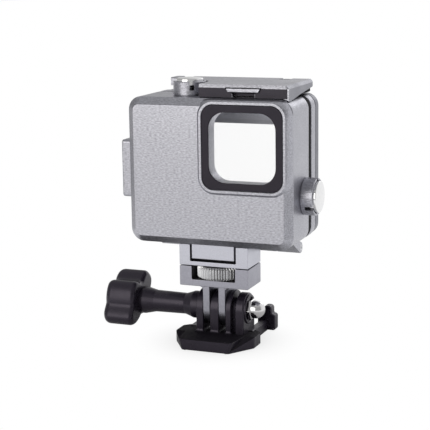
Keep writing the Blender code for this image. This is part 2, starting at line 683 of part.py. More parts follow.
def front_case():
    """Chamfered front shell with the lens port, foot, hinge lugs and latch catch."""
    made = part("front_case", prism(case_outline(), CASE_FRONT, CASE_BACK, "Y", low_bevel=CASE_CHAMFER),
                "aluminium", TILT)
    rim_side = PORT_SIDE + 2 * PORT_RIM
    rim_corner = PORT_CORNER + PORT_RIM
    blend = CASE_FRONT + PORT_BLEND
    edge = PORT_RISE / 2
    boss = frustum(square(rim_side, rim_corner, PORT_X, PORT_Z),
                   square(rim_side + 2 * PORT_TAPER, rim_corner + PORT_TAPER, PORT_X, PORT_Z),
                   PORT_FRONT, blend, "Y")
    front = [item for item in boss.edges if all(abs(v.co.y - PORT_FRONT) < SEAT for v in item.verts)]
    bmesh.ops.bevel(boss, geom=front, offset=edge, offset_type="OFFSET", segments=2, profile=0.5, affect="EDGES")
    port = part("lens_boss_tool", boss, "aluminium")
    envelope = prism(case_outline(), PORT_FRONT - PAST, blend + PAST, "Y")
    boolean(port, envelope, "INTERSECT")
    CUTTERS.objects.link(port)
    PARTS.objects.unlink(port)
    port.hide_render = True
    port.display_type = "WIRE"
    step = made.modifiers.new("Lens boss", "BOOLEAN")
    step.operation = "UNION"
    step.object = port

    cut(made, prism(bay_outline(), CASE_FRONT + FRONT_WALL, CASE_BACK + PAST, "Y"))
    tunnel_back = PORT_FRONT + PORT_DEPTH
    if tunnel_back > CASE_FRONT + FRONT_WALL:
        join(made, prism(square(PORT_SIDE, PORT_CORNER, PORT_X, PORT_Z), CASE_FRONT + FRONT_WALL - OVERLAP,
                         tunnel_back, "Y"))
    pocket = PORT_FRONT + BEZEL_SINK + BEZEL_THICK + SEAT
    ledge = pocket + GLASS_THICK + LENS_SEAL_THICK + 2 * SEAT
    glass_side = OPENING_SIDE + 2 * GLASS_LEDGE
    cut(made, prism(square(PORT_SIDE, PORT_CORNER, PORT_X, PORT_Z), PORT_FRONT - PAST, pocket, "Y"))
    cut(made, prism(square(glass_side, OPENING_CORNER + GLASS_LEDGE, PORT_X, PORT_Z), pocket - SEAT, ledge, "Y"))
    cut(made, prism(square(OPENING_SIDE, OPENING_CORNER, PORT_X, PORT_Z), ledge - SEAT, tunnel_back + PAST, "Y"))

    foot_bottom = BRACKET_BOTTOM + BRACKET_WEB + FOOT_GAP
    depth = MOUNT_DEPTH / 2
    join(made, box(-FOOT_WIDTH / 2, FOOT_WIDTH / 2, -depth, depth, foot_bottom, CASE_BOTTOM + OVERLAP))
    cut(made, rod((0, 0), STUD_RADIUS + GAP, foot_bottom - PAST, foot_bottom + STUD_REACH + GAP, "Z"))
    lug = teardrop((HINGE_Y, HINGE_Z), KNUCKLE_RADIUS, (CASE_BACK - LUG_LENGTH - SEAL_GAP, CASE_BOTTOM + OVERLAP),
                   (CASE_BACK - LUG_GAP, CASE_BOTTOM + OVERLAP))
    outer = HINGE_WIDTH / 2
    for side in (-1, 1):
        low, high = sorted((side * outer, side * (outer - CASE_KNUCKLE)))
        join(made, prism(lug, low, high, "X"))
    cut(made, rod((HINGE_Y, HINGE_Z), HINGE_PIN_RADIUS + SEAT, -CASE_RIGHT, CASE_RIGHT, "X"))
    catch = LATCH_FRONT_Y + LATCH_SKIRT_DEPTH + CATCH_DEPTH / 2
    join(made, box(LOCK_X - LOCK_RECESS_WIDTH / 2, LOCK_X + LOCK_RECESS_WIDTH / 2, catch, catch + CATCH_DEPTH,
                   CASE_TOP - OVERLAP, CASE_TOP + CATCH_HEIGHT))
    cut(made, rod((SHUTTER_X, SHUTTER_Y), SPIGOT_RADIUS + SEAT, BAY_TOP - PAST, CASE_TOP + PAST, "Z"))
    cut(made, rod((MODE_Y, MODE_Z), SPIGOT_RADIUS + SEAT, CASE_RIGHT - SIDE_WALL - PAST, CASE_RIGHT + PAST, "X"))
    for at in block_screw_places():
        cut(made, rod(at, BLOCK_SCREW_RADIUS + SEAT, -CASE_RIGHT - PAST, -CASE_RIGHT + SIDE_WALL * 0.75, "X"))


def lens():
    """Charcoal bezel, clear glass and its seal, stacked in the lens port."""
    front = PORT_FRONT + BEZEL_SINK
    back = front + BEZEL_THICK
    bezel = part("lens_bezel", prism(square(PORT_SIDE - 2 * SEAT, PORT_CORNER - SEAT, PORT_X, PORT_Z), front, back, "Y",
                                     low_bevel=GAP), "charcoal", TILT)
    cut(bezel, prism(square(OPENING_SIDE, OPENING_CORNER, PORT_X, PORT_Z), front - PAST, back + PAST, "Y"))
    glass_side = OPENING_SIDE + 2 * GLASS_LEDGE - 2 * SEAT
    corner = OPENING_CORNER + GLASS_LEDGE - SEAT
    glass_front = back + 2 * SEAT
    glass_back = glass_front + GLASS_THICK
    part("lens_glass", prism(square(glass_side, corner, PORT_X, PORT_Z), glass_front, glass_back, "Y"), "glass", TILT)
    seal = part("lens_seal", prism(square(glass_side, corner, PORT_X, PORT_Z), glass_back + SEAT / 2,
                                   glass_back + SEAT / 2 + LENS_SEAL_THICK, "Y"), "rubber", TILT)
    cut(seal, prism(square(OPENING_SIDE + GLASS_LEDGE / 2, OPENING_CORNER, PORT_X, PORT_Z), glass_back - PAST,
                    glass_back + LENS_SEAL_THICK + PAST, "Y"))


def hinge():
    reach = HINGE_WIDTH / 2 - SEAT
    part("hinge_pin", rod((HINGE_Y, HINGE_Z), HINGE_PIN_RADIUS, -reach, reach, "X", 12), "steel", TILT)


def cover_screw_places():
    top = CASE_TOP - TOP_WALL / 2 - COVER_INSET
    bottom = CASE_BOTTOM + BOTTOM_WALL / 2
    across = COVER_SCREW_SPREAD / 2
    return {
        "cover_screw_top_left": (-across, top), "cover_screw_top_right": (across, top),
        "cover_screw_bottom_left": (-across, bottom), "cover_screw_bottom_right": (across, bottom),
    }


def rear_door():
    """Door ring with the hinge knuckle and latch lugs, its gasket, window, window frame and screws."""
    frame = part("door_frame", prism(case_outline(), DOOR_FRONT, DOOR_BACK, "Y"), "aluminium", DOOR_AXIS)
    cut(frame, prism(bay_outline(), DOOR_FRONT - PAST, DOOR_BACK + PAST, "Y"))
    lug = teardrop((HINGE_Y, HINGE_Z), KNUCKLE_RADIUS, (DOOR_FRONT + LUG_GAP, CASE_BOTTOM + OVERLAP),
                   (DOOR_FRONT + LUG_LENGTH, CASE_BOTTOM + OVERLAP))
    knuckle = HINGE_WIDTH / 2 - CASE_KNUCKLE - GAP
    join(frame, prism(lug, -knuckle, knuckle, "X"))
    cut(frame, rod((HINGE_Y, HINGE_Z), HINGE_PIN_RADIUS + RUNNING, -CASE_RIGHT, CASE_RIGHT, "X"))

    seal_front, seal_back = CASE_BACK + SEAT, DOOR_FRONT - SEAT
    seal = part("door_seal", prism(case_outline(SEAL_INSET), seal_front, seal_back, "Y"), "rubber", DOOR_AXIS)
    cut(seal, prism(bay_outline(), seal_front - PAST, seal_back + PAST, "Y"))

    cover = part("rear_cover", prism(case_outline(COVER_INSET), COVER_FRONT, COVER_BACK, "Y",
                                     high_bevel=COVER_CHAMFER), "aluminium", DOOR_AXIS)
    half = WINDOW_WIDTH / 2
    window_top = CASE_TOP - WINDOW_FROM_TOP
    window_bottom = window_top - WINDOW_HEIGHT
    opening = rounded(-half, half, window_bottom, window_top, WINDOW_CORNER)

    def pane(inset):
        grow = WINDOW_LEDGE - inset
        return rounded(-half - grow, half + grow, window_bottom - grow, window_top + grow, WINDOW_CORNER + grow)

    ledge = COVER_FRONT + WINDOW_THICK + WINDOW_SEAL_THICK + 3 * SEAT
    cut(cover, prism(opening, COVER_FRONT - PAST, COVER_BACK + PAST, "Y"))
    cut(cover, prism(pane(0), COVER_FRONT - PAST, ledge, "Y"))
    seal_low = ledge - SEAT - WINDOW_SEAL_THICK
    gasket = part("window_seal", prism(pane(SEAT), seal_low, ledge - SEAT, "Y"), "rubber", DOOR_AXIS)
    cut(gasket, prism(opening, seal_low - PAST, ledge + PAST, "Y"))
    part("rear_window", prism(pane(SEAT), COVER_FRONT + SEAT, COVER_FRONT + SEAT + WINDOW_THICK, "Y"), "glass",
         DOOR_AXIS)

    head = COVER_SCREW_HEAD - COVER_SCREW_RADIUS
    tip = COVER_BACK - COVER_SCREW_LENGTH
    for name, at in cover_screw_places().items():
        shank = COVER_SCREW_RADIUS + SEAT
        cut(cover, rod(at, shank, tip - GAP, COVER_BACK + PAST, "Y", 12))
        cut(cover, frustum(circle(*at, shank, 12), circle(*at, COVER_SCREW_HEAD + SEAT + head, 12),
                           COVER_BACK - head - SEAT, COVER_BACK + head, "Y"))
        cut(frame, rod(at, shank, tip - GAP, COVER_BACK + PAST, "Y", 12))
        screw = part(name, rod(at, COVER_SCREW_RADIUS, tip, COVER_BACK - SEAT, "Y", 12), "steel", DOOR_AXIS)
        join(screw, frustum(circle(*at, COVER_SCREW_RADIUS - SEAT, 12), circle(*at, COVER_SCREW_HEAD - SEAT, 12),
                            COVER_BACK - head, COVER_BACK - SEAT, "Y"))

    for place in (-LATCH_LUG_SPREAD / 2, LATCH_LUG_SPREAD / 2):
        lug = teardrop((LATCH_Y, LATCH_Z), LATCH_BARREL - GAP, (COVER_BACK - COVER_CHAMFER, CASE_TOP - 2 * COVER_CHAMFER),
                       (COVER_FRONT + SEAT, CASE_TOP - 2 * COVER_CHAMFER))
        join(cover, prism(lug, place - LATCH_LUG_WIDTH / 2, place + LATCH_LUG_WIDTH / 2, "X"))
    cut(cover, rod((LATCH_Y, LATCH_Z), LATCH_PIN_RADIUS + SEAT, -CASE_RIGHT, CASE_RIGHT, "X", 12))
    pin_end = (LATCH_LUG_SPREAD + LATCH_LUG_WIDTH) / 2 - SEAT
    part("latch_pin", rod((LATCH_Y, LATCH_Z), LATCH_PIN_RADIUS, LATCH_STRIP_LEFT + GAP, pin_end, "X", 12), "steel",
         DOOR_AXIS)


def latch():
    """Latch plate that lies over the shell's top, with its push lock and spring."""
    cutout = SHUTTER_COLLAR_RADIUS + BUTTON_CUTOUT_GAP
    strip_front = LATCH_Y + LATCH_BARREL - LATCH_STRIP_DEPTH
    notch = arc(SHUTTER_X, SHUTTER_Y, cutout, 5, 125, CORNER_STEPS * 2)
    outline = [(LATCH_RIGHT, LATCH_FRONT_Y), (LATCH_RIGHT, LATCH_Y)]
    outline += [(LATCH_STRIP_LEFT, LATCH_Y), (LATCH_STRIP_LEFT, strip_front), (notch[-1][0], strip_front)]
    outline += notch[::-1] + [(LATCH_SKIRT_LEFT, notch[0][1]), (LATCH_SKIRT_LEFT, LATCH_FRONT_Y)]
    plate = part("latch_plate", prism(outline, LATCH_BOTTOM, LATCH_TOP, "Z"), "aluminium", LATCH_AXIS)
    skirt_back = LATCH_FRONT_Y + LATCH_SKIRT_DEPTH
    wedge = [(skirt_back, LATCH_BOTTOM - PAST), (LATCH_Y + PAST, LATCH_BOTTOM - PAST),
             (LATCH_Y + PAST, LATCH_BOTTOM + LATCH_RISE), (skirt_back, LATCH_BOTTOM)]
    cut(plate, prism(wedge, LATCH_STRIP_LEFT - PAST, LATCH_RIGHT + PAST, "X"))
    last_lug = LATCH_LUG_SPREAD / 2
    join(plate, rod((LATCH_Y, LATCH_Z), LATCH_BARREL, LATCH_STRIP_LEFT, last_lug, "X"))
    skirt_bottom = LATCH_BOTTOM - LATCH_SKIRT
    leg = LATCH_RIGHT - LATCH_LEG
    skirt = [(LATCH_SKIRT_LEFT, skirt_bottom), (leg, skirt_bottom), (LATCH_RIGHT, skirt_bottom - LATCH_LEG_DROP),
             (LATCH_RIGHT, LATCH_BOTTOM + OVERLAP), (LATCH_SKIRT_LEFT, LATCH_BOTTOM + OVERLAP)]
    join(plate, prism(skirt, LATCH_FRONT_Y, skirt_back, "Y"))
    bevel = [(LATCH_FRONT_Y - PAST, LATCH_TOP - LATCH_BEVEL - PAST), (LATCH_FRONT_Y - PAST, LATCH_TOP + PAST),
             (LATCH_FRONT_Y + LATCH_BEVEL + PAST, LATCH_TOP + PAST)]
    cut(plate, prism(bevel, LATCH_STRIP_LEFT - PAST, LATCH_RIGHT + PAST, "X"))
    end_bevel = [(LATCH_RIGHT + PAST, LATCH_TOP - LATCH_END_BEVEL - PAST), (LATCH_RIGHT + PAST, LATCH_TOP + PAST),
                 (LATCH_RIGHT - LATCH_END_BEVEL - PAST, LATCH_TOP + PAST)]
    cut(plate, prism(end_bevel, LATCH_FRONT_Y - PAST, LATCH_Y + PAST, "Y"))
    for place in (-LATCH_LUG_SPREAD / 2, LATCH_LUG_SPREAD / 2):
        reach = LATCH_LUG_WIDTH / 2 + GAP
        cut(plate, box(place - reach, place + reach, COVER_FRONT - PAST, COVER_BACK + PAST, LATCH_BOTTOM - PAST,
                       LATCH_TOP + PAST))
    cut(plate, rod((LATCH_Y, LATCH_Z), LATCH_PIN_RADIUS + RUNNING, -CASE_RIGHT, last_lug, "X", 12))

    lock_top = LATCH_TOP - LOCK_TOP
    lock_bottom = lock_top - LOCK_HEIGHT
    half = LOCK_WIDTH / 2
    tunnel_end = LATCH_FRONT_Y + LOCK_LENGTH + LOCK_SPRING_LENGTH
    cut(plate, box(LOCK_X - half - GAP, LOCK_X + half + GAP, LATCH_FRONT_Y - PAST, tunnel_end, lock_bottom - GAP,
                   lock_top + GAP))
    cut(plate, box(LOCK_X - LOCK_RECESS_WIDTH / 2, LOCK_X + LOCK_RECESS_WIDTH / 2, LATCH_FRONT_Y - PAST,
                   LATCH_FRONT_Y + LOCK_RECESS_DEPTH, skirt_bottom - PAST, lock_top))
    lip = lock_top - LOCK_LIP_HEIGHT
    lock_back = LATCH_FRONT_Y + LOCK_LENGTH
    recess_back = LATCH_FRONT_Y + LOCK_RECESS_DEPTH
    lock = part("latch_lock", box(LOCK_X - half, LOCK_X + half, recess_back, lock_back, lock_bottom, lock_top),
                "aluminium", LOCK_AXIS)
    narrow = half - LOCK_LIP_TAPER
    tray = [(LOCK_X - narrow, lip), (LOCK_X + narrow, lip), (LOCK_X + half - SEAT, lock_top - SEAT / 2),
            (LOCK_X - half + SEAT, lock_top - SEAT / 2)]
    join(lock, prism(tray, LATCH_FRONT_Y - LOCK_LIP, recess_back + OVERLAP, "Y"))
    spring = Matrix.Translation((LOCK_X, lock_back, (lock_top + lock_bottom) / 2)) @ Matrix.Rotation(-math.pi / 2, 4, "X")
    coil("lock_spring", LOCK_HEIGHT / 3, LOCK_HEIGHT / 10, SEAT, LOCK_SPRING_LENGTH - SEAT, 4, LATCH_AXIS, spring)


def button(name, place, wall, radius, height, rise, slot_angle, joint):
    """Screwed-in collar with drain slots; chrome cap, plunger, spring, O-ring and clip inside it.

    Local Z points out of the wall, and zero is the wall's outer face.
    """
    bore = radius - COLLAR_WALL
    inner = -wall - GAP
    gland = -wall + GLAND_DEPTH
    floor = height - SLOT_DEPTH
    cap_low = floor + BUTTON_TRAVEL + GAP
    cap_top = height + rise
    plunger_bore = PLUNGER_RADIUS + RUNNING
    collar = turned(f"{name}_collar", [
        (bore, height), (radius, height), (radius, SEAT), (SPIGOT_RADIUS, SEAT), (SPIGOT_RADIUS, inner),
        (GLAND_RADIUS, inner), (GLAND_RADIUS, gland), (plunger_bore, gland), (plunger_bore, floor), (bore, floor),
    ], "aluminium", TILT, place, closed=True)
    for turn in range(3):
        angle = math.radians(slot_angle + 120 * turn)
        spin = place @ Matrix.Rotation(angle, 4, "Z")
        cut(collar, box(bore - GAP * 2, radius + PAST, -SLOT_WIDTH / 2, SLOT_WIDTH / 2, floor, height + PAST), place=spin)

    cap = bore - GAP
    edge = rise / 4
    roof = cap_top - rise * 0.75
    cap_wall = cap * 0.8
    boss = PLUNGER_RADIUS * 1.6
    socket = PLUNGER_RADIUS + SEAT
    dome = [(cap * i / 4, cap_top - edge * (i / 4) ** 2) for i in range(4)]
    turned(f"{name}_cap", dome + [
        (cap, cap_top - 2 * edge), (cap, cap_low), (cap_wall, cap_low), (cap_wall, roof), (boss, roof),
        (boss, cap_low + SEAT), (socket, cap_low + SEAT), (socket, roof), (0, roof),
    ], "chrome", joint, place)
    groove = inner - GAP - CLIP_THICK
    waist = PLUNGER_RADIUS * 0.7
    tip = groove - 2 * CLIP_THICK
    turned(f"{name}_plunger", [
        (0, roof - SEAT), (PLUNGER_RADIUS, roof - SEAT), (PLUNGER_RADIUS, inner - GAP + SEAT),
        (waist, inner - GAP + SEAT), (waist, groove - SEAT), (PLUNGER_RADIUS, groove - SEAT),
        (PLUNGER_RADIUS, tip), (0, tip),
    ], "steel", joint, place, steps=SMALL_STEPS)
    clip = turned(f"{name}_clip", [
        (waist + SEAT, inner - GAP), (CLIP_RADIUS, inner - GAP), (CLIP_RADIUS, groove), (waist + SEAT, groove),
    ], "steel", joint, place, closed=True, steps=SMALL_STEPS)
    cut(clip, box(-waist * 0.8, waist * 0.8, 0, CLIP_RADIUS + PAST, groove - PAST, inner + PAST), place=place)
    cord = (GLAND_RADIUS - PLUNGER_RADIUS) / 2 - SEAT
    ring_radius = (GLAND_RADIUS + PLUNGER_RADIUS) / 2
    ring_height = gland - cord - SEAT
    bead = [(ring_radius + cord * math.cos(t), ring_height + cord * math.sin(t))
            for t in (math.pi / 2 - math.pi * i / 4 for i in range(8))]
    turned(f"{name}_o_ring", bead, "rubber", TILT, place, closed=True, steps=SMALL_STEPS)
    wire = 0.00025
    coil(f"{name}_spring", (cap_wall + boss) / 2, wire, floor + SEAT, roof - SEAT, 4, TILT, place)


def buttons():
    up = Matrix.Translation((SHUTTER_X, SHUTTER_Y, CASE_TOP))
    button("shutter", up, TOP_WALL, SHUTTER_COLLAR_RADIUS, SHUTTER_COLLAR_HEIGHT, SHUTTER_CAP_RISE,
           SHUTTER_SLOT_ANGLE, SHUTTER_AXIS)
    right = Matrix.Translation((CASE_RIGHT, MODE_Y, MODE_Z)) @ Matrix.Rotation(math.pi / 2, 4, "Y")
    button("mode", right, SIDE_WALL, MODE_COLLAR_RADIUS, MODE_COLLAR_HEIGHT, MODE_CAP_RISE, MODE_SLOT_ANGLE, MODE_AXIS)


def block_screw_places():
    middle_y = CASE_FRONT + BLOCK_FROM_FRONT + BLOCK_DEPTH / 2
    middle_z = CASE_BOTTOM + BLOCK_FROM_BOTTOM + BLOCK_HEIGHT / 2
    return [(middle_y, middle_z - BLOCK_SCREW_SPREAD / 2), (middle_y, middle_z + BLOCK_SCREW_SPREAD / 2)]


def side_block():
    """Plain block on the left wall, held by two countersunk screws."""
    front = CASE_FRONT + BLOCK_FROM_FRONT
    bottom = CASE_BOTTOM + BLOCK_FROM_BOTTOM
    outer, inner = -CASE_RIGHT - SEAT - BLOCK_THICK, -CASE_RIGHT - SEAT
    face = rounded(front, front + BLOCK_DEPTH, bottom, bottom + BLOCK_HEIGHT, BLOCK_THICK / 4)
    made = part("side_block", prism(face, outer, inner, "X", low_bevel=BLOCK_THICK / 8), "aluminium", TILT)
    head = BLOCK_SCREW_HEAD - BLOCK_SCREW_RADIUS
    end = outer + BLOCK_SCREW_LENGTH
    for name, at in zip(("block_screw_lower", "block_screw_upper"), block_screw_places()):
        shank = BLOCK_SCREW_RADIUS + SEAT
        cut(made, rod(at, shank, outer - PAST, inner + PAST, "X", 12))
        cut(made, frustum(circle(*at, BLOCK_SCREW_HEAD + SEAT + head, 12), circle(*at, shank, 12), outer - head,
                          outer + head + SEAT, "X"))
        screw = part(name, rod(at, BLOCK_SCREW_RADIUS, outer + SEAT, end, "X", 12), "steel", TILT)
        join(screw, frustum(circle(*at, BLOCK_SCREW_HEAD - SEAT, 12), circle(*at, BLOCK_SCREW_RADIUS - SEAT, 12),
                            outer + SEAT, outer + head, "X"))


buckle()
cap_nut()
thumbscrew()
mount()
front_case()
lens()
hinge()
rear_door()
latch()
buttons()
side_block()
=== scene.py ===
"""Looks of the metal camera housing on its tilt mount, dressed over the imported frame.

Every piece is a skin over loops of points worked out as whole arrays: loop k, point i. Units are metres,
the lens looks along -Y, +Z is up, and places come from the frame's own boxes.
"""

import json

import bmesh
import bpy
import numpy as np
from mathutils import Matrix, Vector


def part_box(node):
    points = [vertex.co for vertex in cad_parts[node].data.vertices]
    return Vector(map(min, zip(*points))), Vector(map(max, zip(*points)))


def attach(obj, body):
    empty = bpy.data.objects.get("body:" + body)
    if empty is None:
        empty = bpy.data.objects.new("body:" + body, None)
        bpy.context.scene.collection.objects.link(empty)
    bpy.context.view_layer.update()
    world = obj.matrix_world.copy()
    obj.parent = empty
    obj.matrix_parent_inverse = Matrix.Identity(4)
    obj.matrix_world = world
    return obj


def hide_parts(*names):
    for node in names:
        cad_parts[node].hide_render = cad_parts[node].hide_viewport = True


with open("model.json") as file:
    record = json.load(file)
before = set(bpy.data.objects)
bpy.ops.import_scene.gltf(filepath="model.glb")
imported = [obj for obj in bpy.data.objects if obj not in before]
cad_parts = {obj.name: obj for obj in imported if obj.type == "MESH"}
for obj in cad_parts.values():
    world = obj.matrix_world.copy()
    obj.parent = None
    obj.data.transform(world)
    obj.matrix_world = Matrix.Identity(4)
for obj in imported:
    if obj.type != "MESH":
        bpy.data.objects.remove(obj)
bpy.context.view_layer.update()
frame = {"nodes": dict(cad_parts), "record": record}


def span(node):
    """Lowest and highest corner of a CAD node, as two arrays."""
    low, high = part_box(node)
    return np.array(low), np.array(high)


# Sizes of the housing's features
SEAT = 0.0001
GAP = 0.0003
SUNK = 0.0006
ROOT_SUNK = 0.0005
HAIR = 0.00002
LEAST_CORNER = 0.0002
CASE_CORNER = 0.0055
CASE_CHAMFER = 0.0030
SIDE_WALL = 0.0030
TOP_WALL = 0.0050
BOTTOM_WALL = 0.0060
FRONT_WALL = 0.0030
BAY_CORNER = 0.0035
SEAL_INSET = 0.00025
RING_SPLIT = 0.0004
RING_REBATE = 0.0015
RING_GROOVE = 0.0010
COVER_INSET = 0.0003
COVER_CHAMFER = 0.0012
PORT_RISE = 0.0009
PORT_CORNER = 0.0050
PORT_RIM = 0.00165
PORT_EDGE = 0.00062
PORT_TAPER = 0.0016
PORT_BLEND = 0.0036
PORT_DEPTH = 0.0070
OPENING_SIDE = 0.0281
OPENING_CORNER = 0.0068
GLASS_LEDGE = 0.0016
WINDOW_CORNER = 0.0030
WINDOW_LEDGE = 0.0020
KNUCKLE_RADIUS = 0.0023
HINGE_LUG = 0.0065
LUG_GAP = 0.0012
CASE_KNUCKLE = 0.0100
LATCH_BEVEL = 0.0012
LATCH_BROW = 0.00045
LATCH_END_BEVEL = 0.0012
LATCH_SKIRT = 0.0018
SKIRT_DROP = 0.0005
LEG_DROP = 0.0009
LEG_LENGTH = 0.0026
LATCH_TURN = 0.0018
LATCH_RISE = 0.0018
SKIRT_LEFT = -0.0048
STRIP_DEPTH = 0.0095
LUG_SPREAD = 0.0440
LUG_WIDTH = 0.0040
RECESS_WIDTH = 0.0095
RECESS_DEPTH = 0.0030
CATCH_DEPTH = 0.0020
HINGE_PIN_RADIUS = 0.0013
HINGE_PIN_BORE = 0.0008
HINGE_PIN_HOLE = 0.0040
LATCH_PIN_RADIUS = 0.0009
COLLAR_WALL = 0.0009
SLOT_WIDTH = 0.0018
SLOT_DEPTH = 0.0035
EAR_RADIUS = 0.0075
PRONG = 0.0030
PRONG_PITCH = 0.0061
BASE_THICK = 0.0049
PRONG_ROOT = BASE_THICK - SUNK
NUT_WEB_HALF = 0.0046
BASE_NOSE = 0.0100
DECK_NOSE = 0.0117
DECK_WAIST = 0.0141
SHOULDER = -0.0080
SHOULDER_BACK = -0.0003
RAMP_START = 0.0009
ARM_INNER = 0.0111
ARM_OUTER = 0.0141
KNOB_HUB = 0.00745
KNOB_LIFT = 0.00095
KNOB_LOBES = ((54, 13, 34, 0.0044), (156, 26, 52, 0.0033), (210, 7, 36, 0.0075), (338, 10, 46, 0.0031))
KNOB_INNER_FACE = -0.0354
KNOB_OUTER_EDGE = 0.0031
KNOB_INNER_EDGE = 0.0020
NECK_RADIUS = 0.0057
SHAFT_RADIUS = 0.0044
NUT_ACROSS_FLATS = 0.0080
DOME_RADIUS = 0.0037
NUT_BLOCK = 0.0046
NUT_EXTRA = 0.0017
MOUNT_FLOOR = 0.0027
FOOT_LEFT = -0.0099
FOOT_RIGHT = 0.00875
FOOT_GAP = 0.0010
BRACKET_LEFT = -0.0105
BRACKET_RIGHT = 0.0094
BRACKET_WEB = 0.0018
BRACKET_DROP = 0.0005
MOUNT_SHIFT = 0.0003
LEFT_PRONG_SHIFT = 0.0007
WHEEL_TEETH = 48
WHEEL_EXTRA = 0.0008
WHEEL_BORE = 0.0036
TOOTH_DEPTH = 0.0010
CORNER_STEPS = 10
NOISE_LOW = 0.3
NOISE_HIGH = 0.7
BUMP_DEPTH = 0.0001
SAME_POINT = 2e-7
SHARP_ANGLE = 38

# Places that the frame gives
shell_low, shell_high = span("front_case")
seal_low, seal_high = span("door_seal")
bezel_low, bezel_high = span("lens_bezel")
glass_low, glass_high = span("lens_glass")
window_low, window_high = span("rear_window")
hinge_low, hinge_high = span("hinge_pin")
latch_low, latch_high = span("latch_plate")
latch_pin_low, latch_pin_high = span("latch_pin")
lock_low, lock_high = span("latch_lock")
bracket_low, bracket_high = span("mount_bracket")
base_low, base_high = span("mount_base")
wheel_low, wheel_high = span("thumbwheel")
buckle_low, buckle_high = span("buckle")
nut_low, nut_high = span("cap_nut")
bolt_low, bolt_high = span("thumb_bolt")
knob_low, knob_high = span("thumb_knob")
block_low, block_high = span("side_block")

case_right = shell_high[0]
case_top = span("door_frame")[1][2]
case_bottom = seal_low[2] - SEAL_INSET
port_front = shell_low[1]
case_front = port_front + PORT_RISE
case_back = seal_low[1] - SEAT
door_front = seal_high[1] + SEAT
cover_front = span("rear_cover")[0][1]
door_back = cover_front - RING_SPLIT
cover_back = span("cover_screw_top_left")[1][1] + SEAT
port_x, port_z = (bezel_low + bezel_high)[[0, 2]] / 2
pivot_y, pivot_z = (bolt_low + bolt_high)[1:] / 2
hinge_y, hinge_z = (hinge_low + hinge_high)[1:] / 2
latch_y, latch_z = (latch_pin_low + latch_pin_high)[1:] / 2
lock_x = (lock_low[0] + lock_high[0]) / 2
mount_bottom = span("mount_screw_left")[0][2] - SEAT


# Outlines: arrays of (a, b) points, counter-clockwise

def full_turn(steps):
    """Angles of a whole turn in even steps, in radians."""
    return np.arange(steps) * 2 * np.pi / steps


def circle(turn):
    """Points (cos, sin) of the unit circle."""
    return np.stack([np.cos(turn), np.sin(turn)], -1)


def arc(centre, radius, start, end, steps):
    """Points on a circle from start to end, in degrees: centre + radius * (cos, sin)."""
    turn = np.radians(np.linspace(start, end, steps + 1))
    return np.array(centre) + radius * circle(turn)


def rounded(low_a, high_a, low_b, high_b, radius):
    """Rounded rectangle: one quarter arc about each corner's centre."""
    turn = np.linspace(0, np.pi / 2, CORNER_STEPS + 1) + np.arange(4)[:, None] * np.pi / 2
    centre_a = np.array([high_a - radius, low_a + radius, low_a + radius, high_a - radius])[:, None]
    centre_b = np.array([high_b - radius, high_b - radius, low_b + radius, low_b + radius])[:, None]
    return np.stack([centre_a + radius * np.cos(turn), centre_b + radius * np.sin(turn)], -1).reshape(-1, 2)


def unit(vectors):
    return vectors / np.linalg.norm(vectors, axis=-1, keepdims=True)


def rounded_corner(before, corner, after, radius, steps):
    """Arc that touches both sides of each corner: its ends lie radius / tan(half angle) away, and its
    points turn evenly about the centre on the bisector, radius / sin(half angle) away."""
    first, second = unit(before - corner), unit(after - corner)
    half = np.arccos(np.clip((first * second).sum(-1, keepdims=True), -0.999999, 0.999999)) / 2
    centre = corner + unit(first + second) * radius / np.sin(half)
    start = corner + first * radius / np.tan(half) - centre
    end = corner + second * radius / np.tan(half) - centre
    sweep = np.pi - 2 * half
    share = np.linspace(0, 1, steps + 1)[None, :, None]
    turn = sweep[:, None, :]
    blend = (np.sin((1 - share) * turn) * start[:, None] + np.sin(share * turn) * end[:, None]) / np.sin(turn)
    return centre[:, None] + blend


def soften(corners, radius, steps=4):
    """Closed polygon with every corner rounded by its own radius."""
    corners = np.asarray(corners, float)
    radius = np.broadcast_to(np.asarray(radius, float), len(corners))[:, None]
    rounds = rounded_corner(np.roll(corners, 1, 0), corners, np.roll(corners, -1, 0), radius, steps)
    return rounds.reshape(-1, 2)


def soft_box(low_a, high_a, low_b, high_b, radius):
    return soften([(low_a, low_b), (high_a, low_b), (high_a, high_b), (low_a, high_b)], radius)


def ease(points, radius, steps=3):
    """Open line with every corner between its two ends rounded."""
    points = np.asarray(points, float)
    size = np.full((len(points) - 2, 1), radius)
    rounds = rounded_corner(points[:-2], points[1:-1], points[2:], size, steps)
    return np.concatenate([points[:1], rounds.reshape(-1, 2), points[-1:]])


def inset(outline, distance):
    """Outline moved inwards: each point goes along the mitre of its two sides' inward normals."""
    side = unit(np.roll(outline, -1, 0) - outline)
    normal = np.stack([-side[:, 1], side[:, 0]], -1)
    before = np.roll(normal, 1, 0)
    mitre = (normal + before) / (1 + (normal * before).sum(-1, keepdims=True))
    return outline + mitre * np.reshape(distance, (-1, 1))


def teardrop(centre, radius, first, second, steps=20):
    """Straight edge from first to second, closed by the two tangents and the far arc of a circle."""
    centre = np.array(centre)
    ends = []
    for point, side in ((second, -1), (first, 1)):
        reach = np.array(point) - centre
        lean = np.arccos(min(1.0, radius / np.hypot(*reach)))
        ends.append(np.degrees(np.arctan2(reach[1], reach[0]) + side * lean))
    start, end = ends
    end -= 360 * np.ceil((end - start) / 360)
    return np.concatenate([[first, second], arc(centre, radius, start, end, steps)])


def counter_clockwise(outline):
    after = np.roll(outline, -1, 0)
    area = (outline[:, 0] * after[:, 1] - outline[:, 1] * after[:, 0]).sum()
    return outline if area > 0 else outline[::-1]


# Skins: points and faces over loops

def lay(outline, along, level):
    """Outline in the plane across an axis, at a level along it."""
    a, b = outline[..., 0], outline[..., 1]
    level = np.broadcast_to(level, a.shape)
    order = {"X": (level, a, b), "Y": (a, level, b), "Z": (a, b, level)}
    return np.stack(order[along], -1)


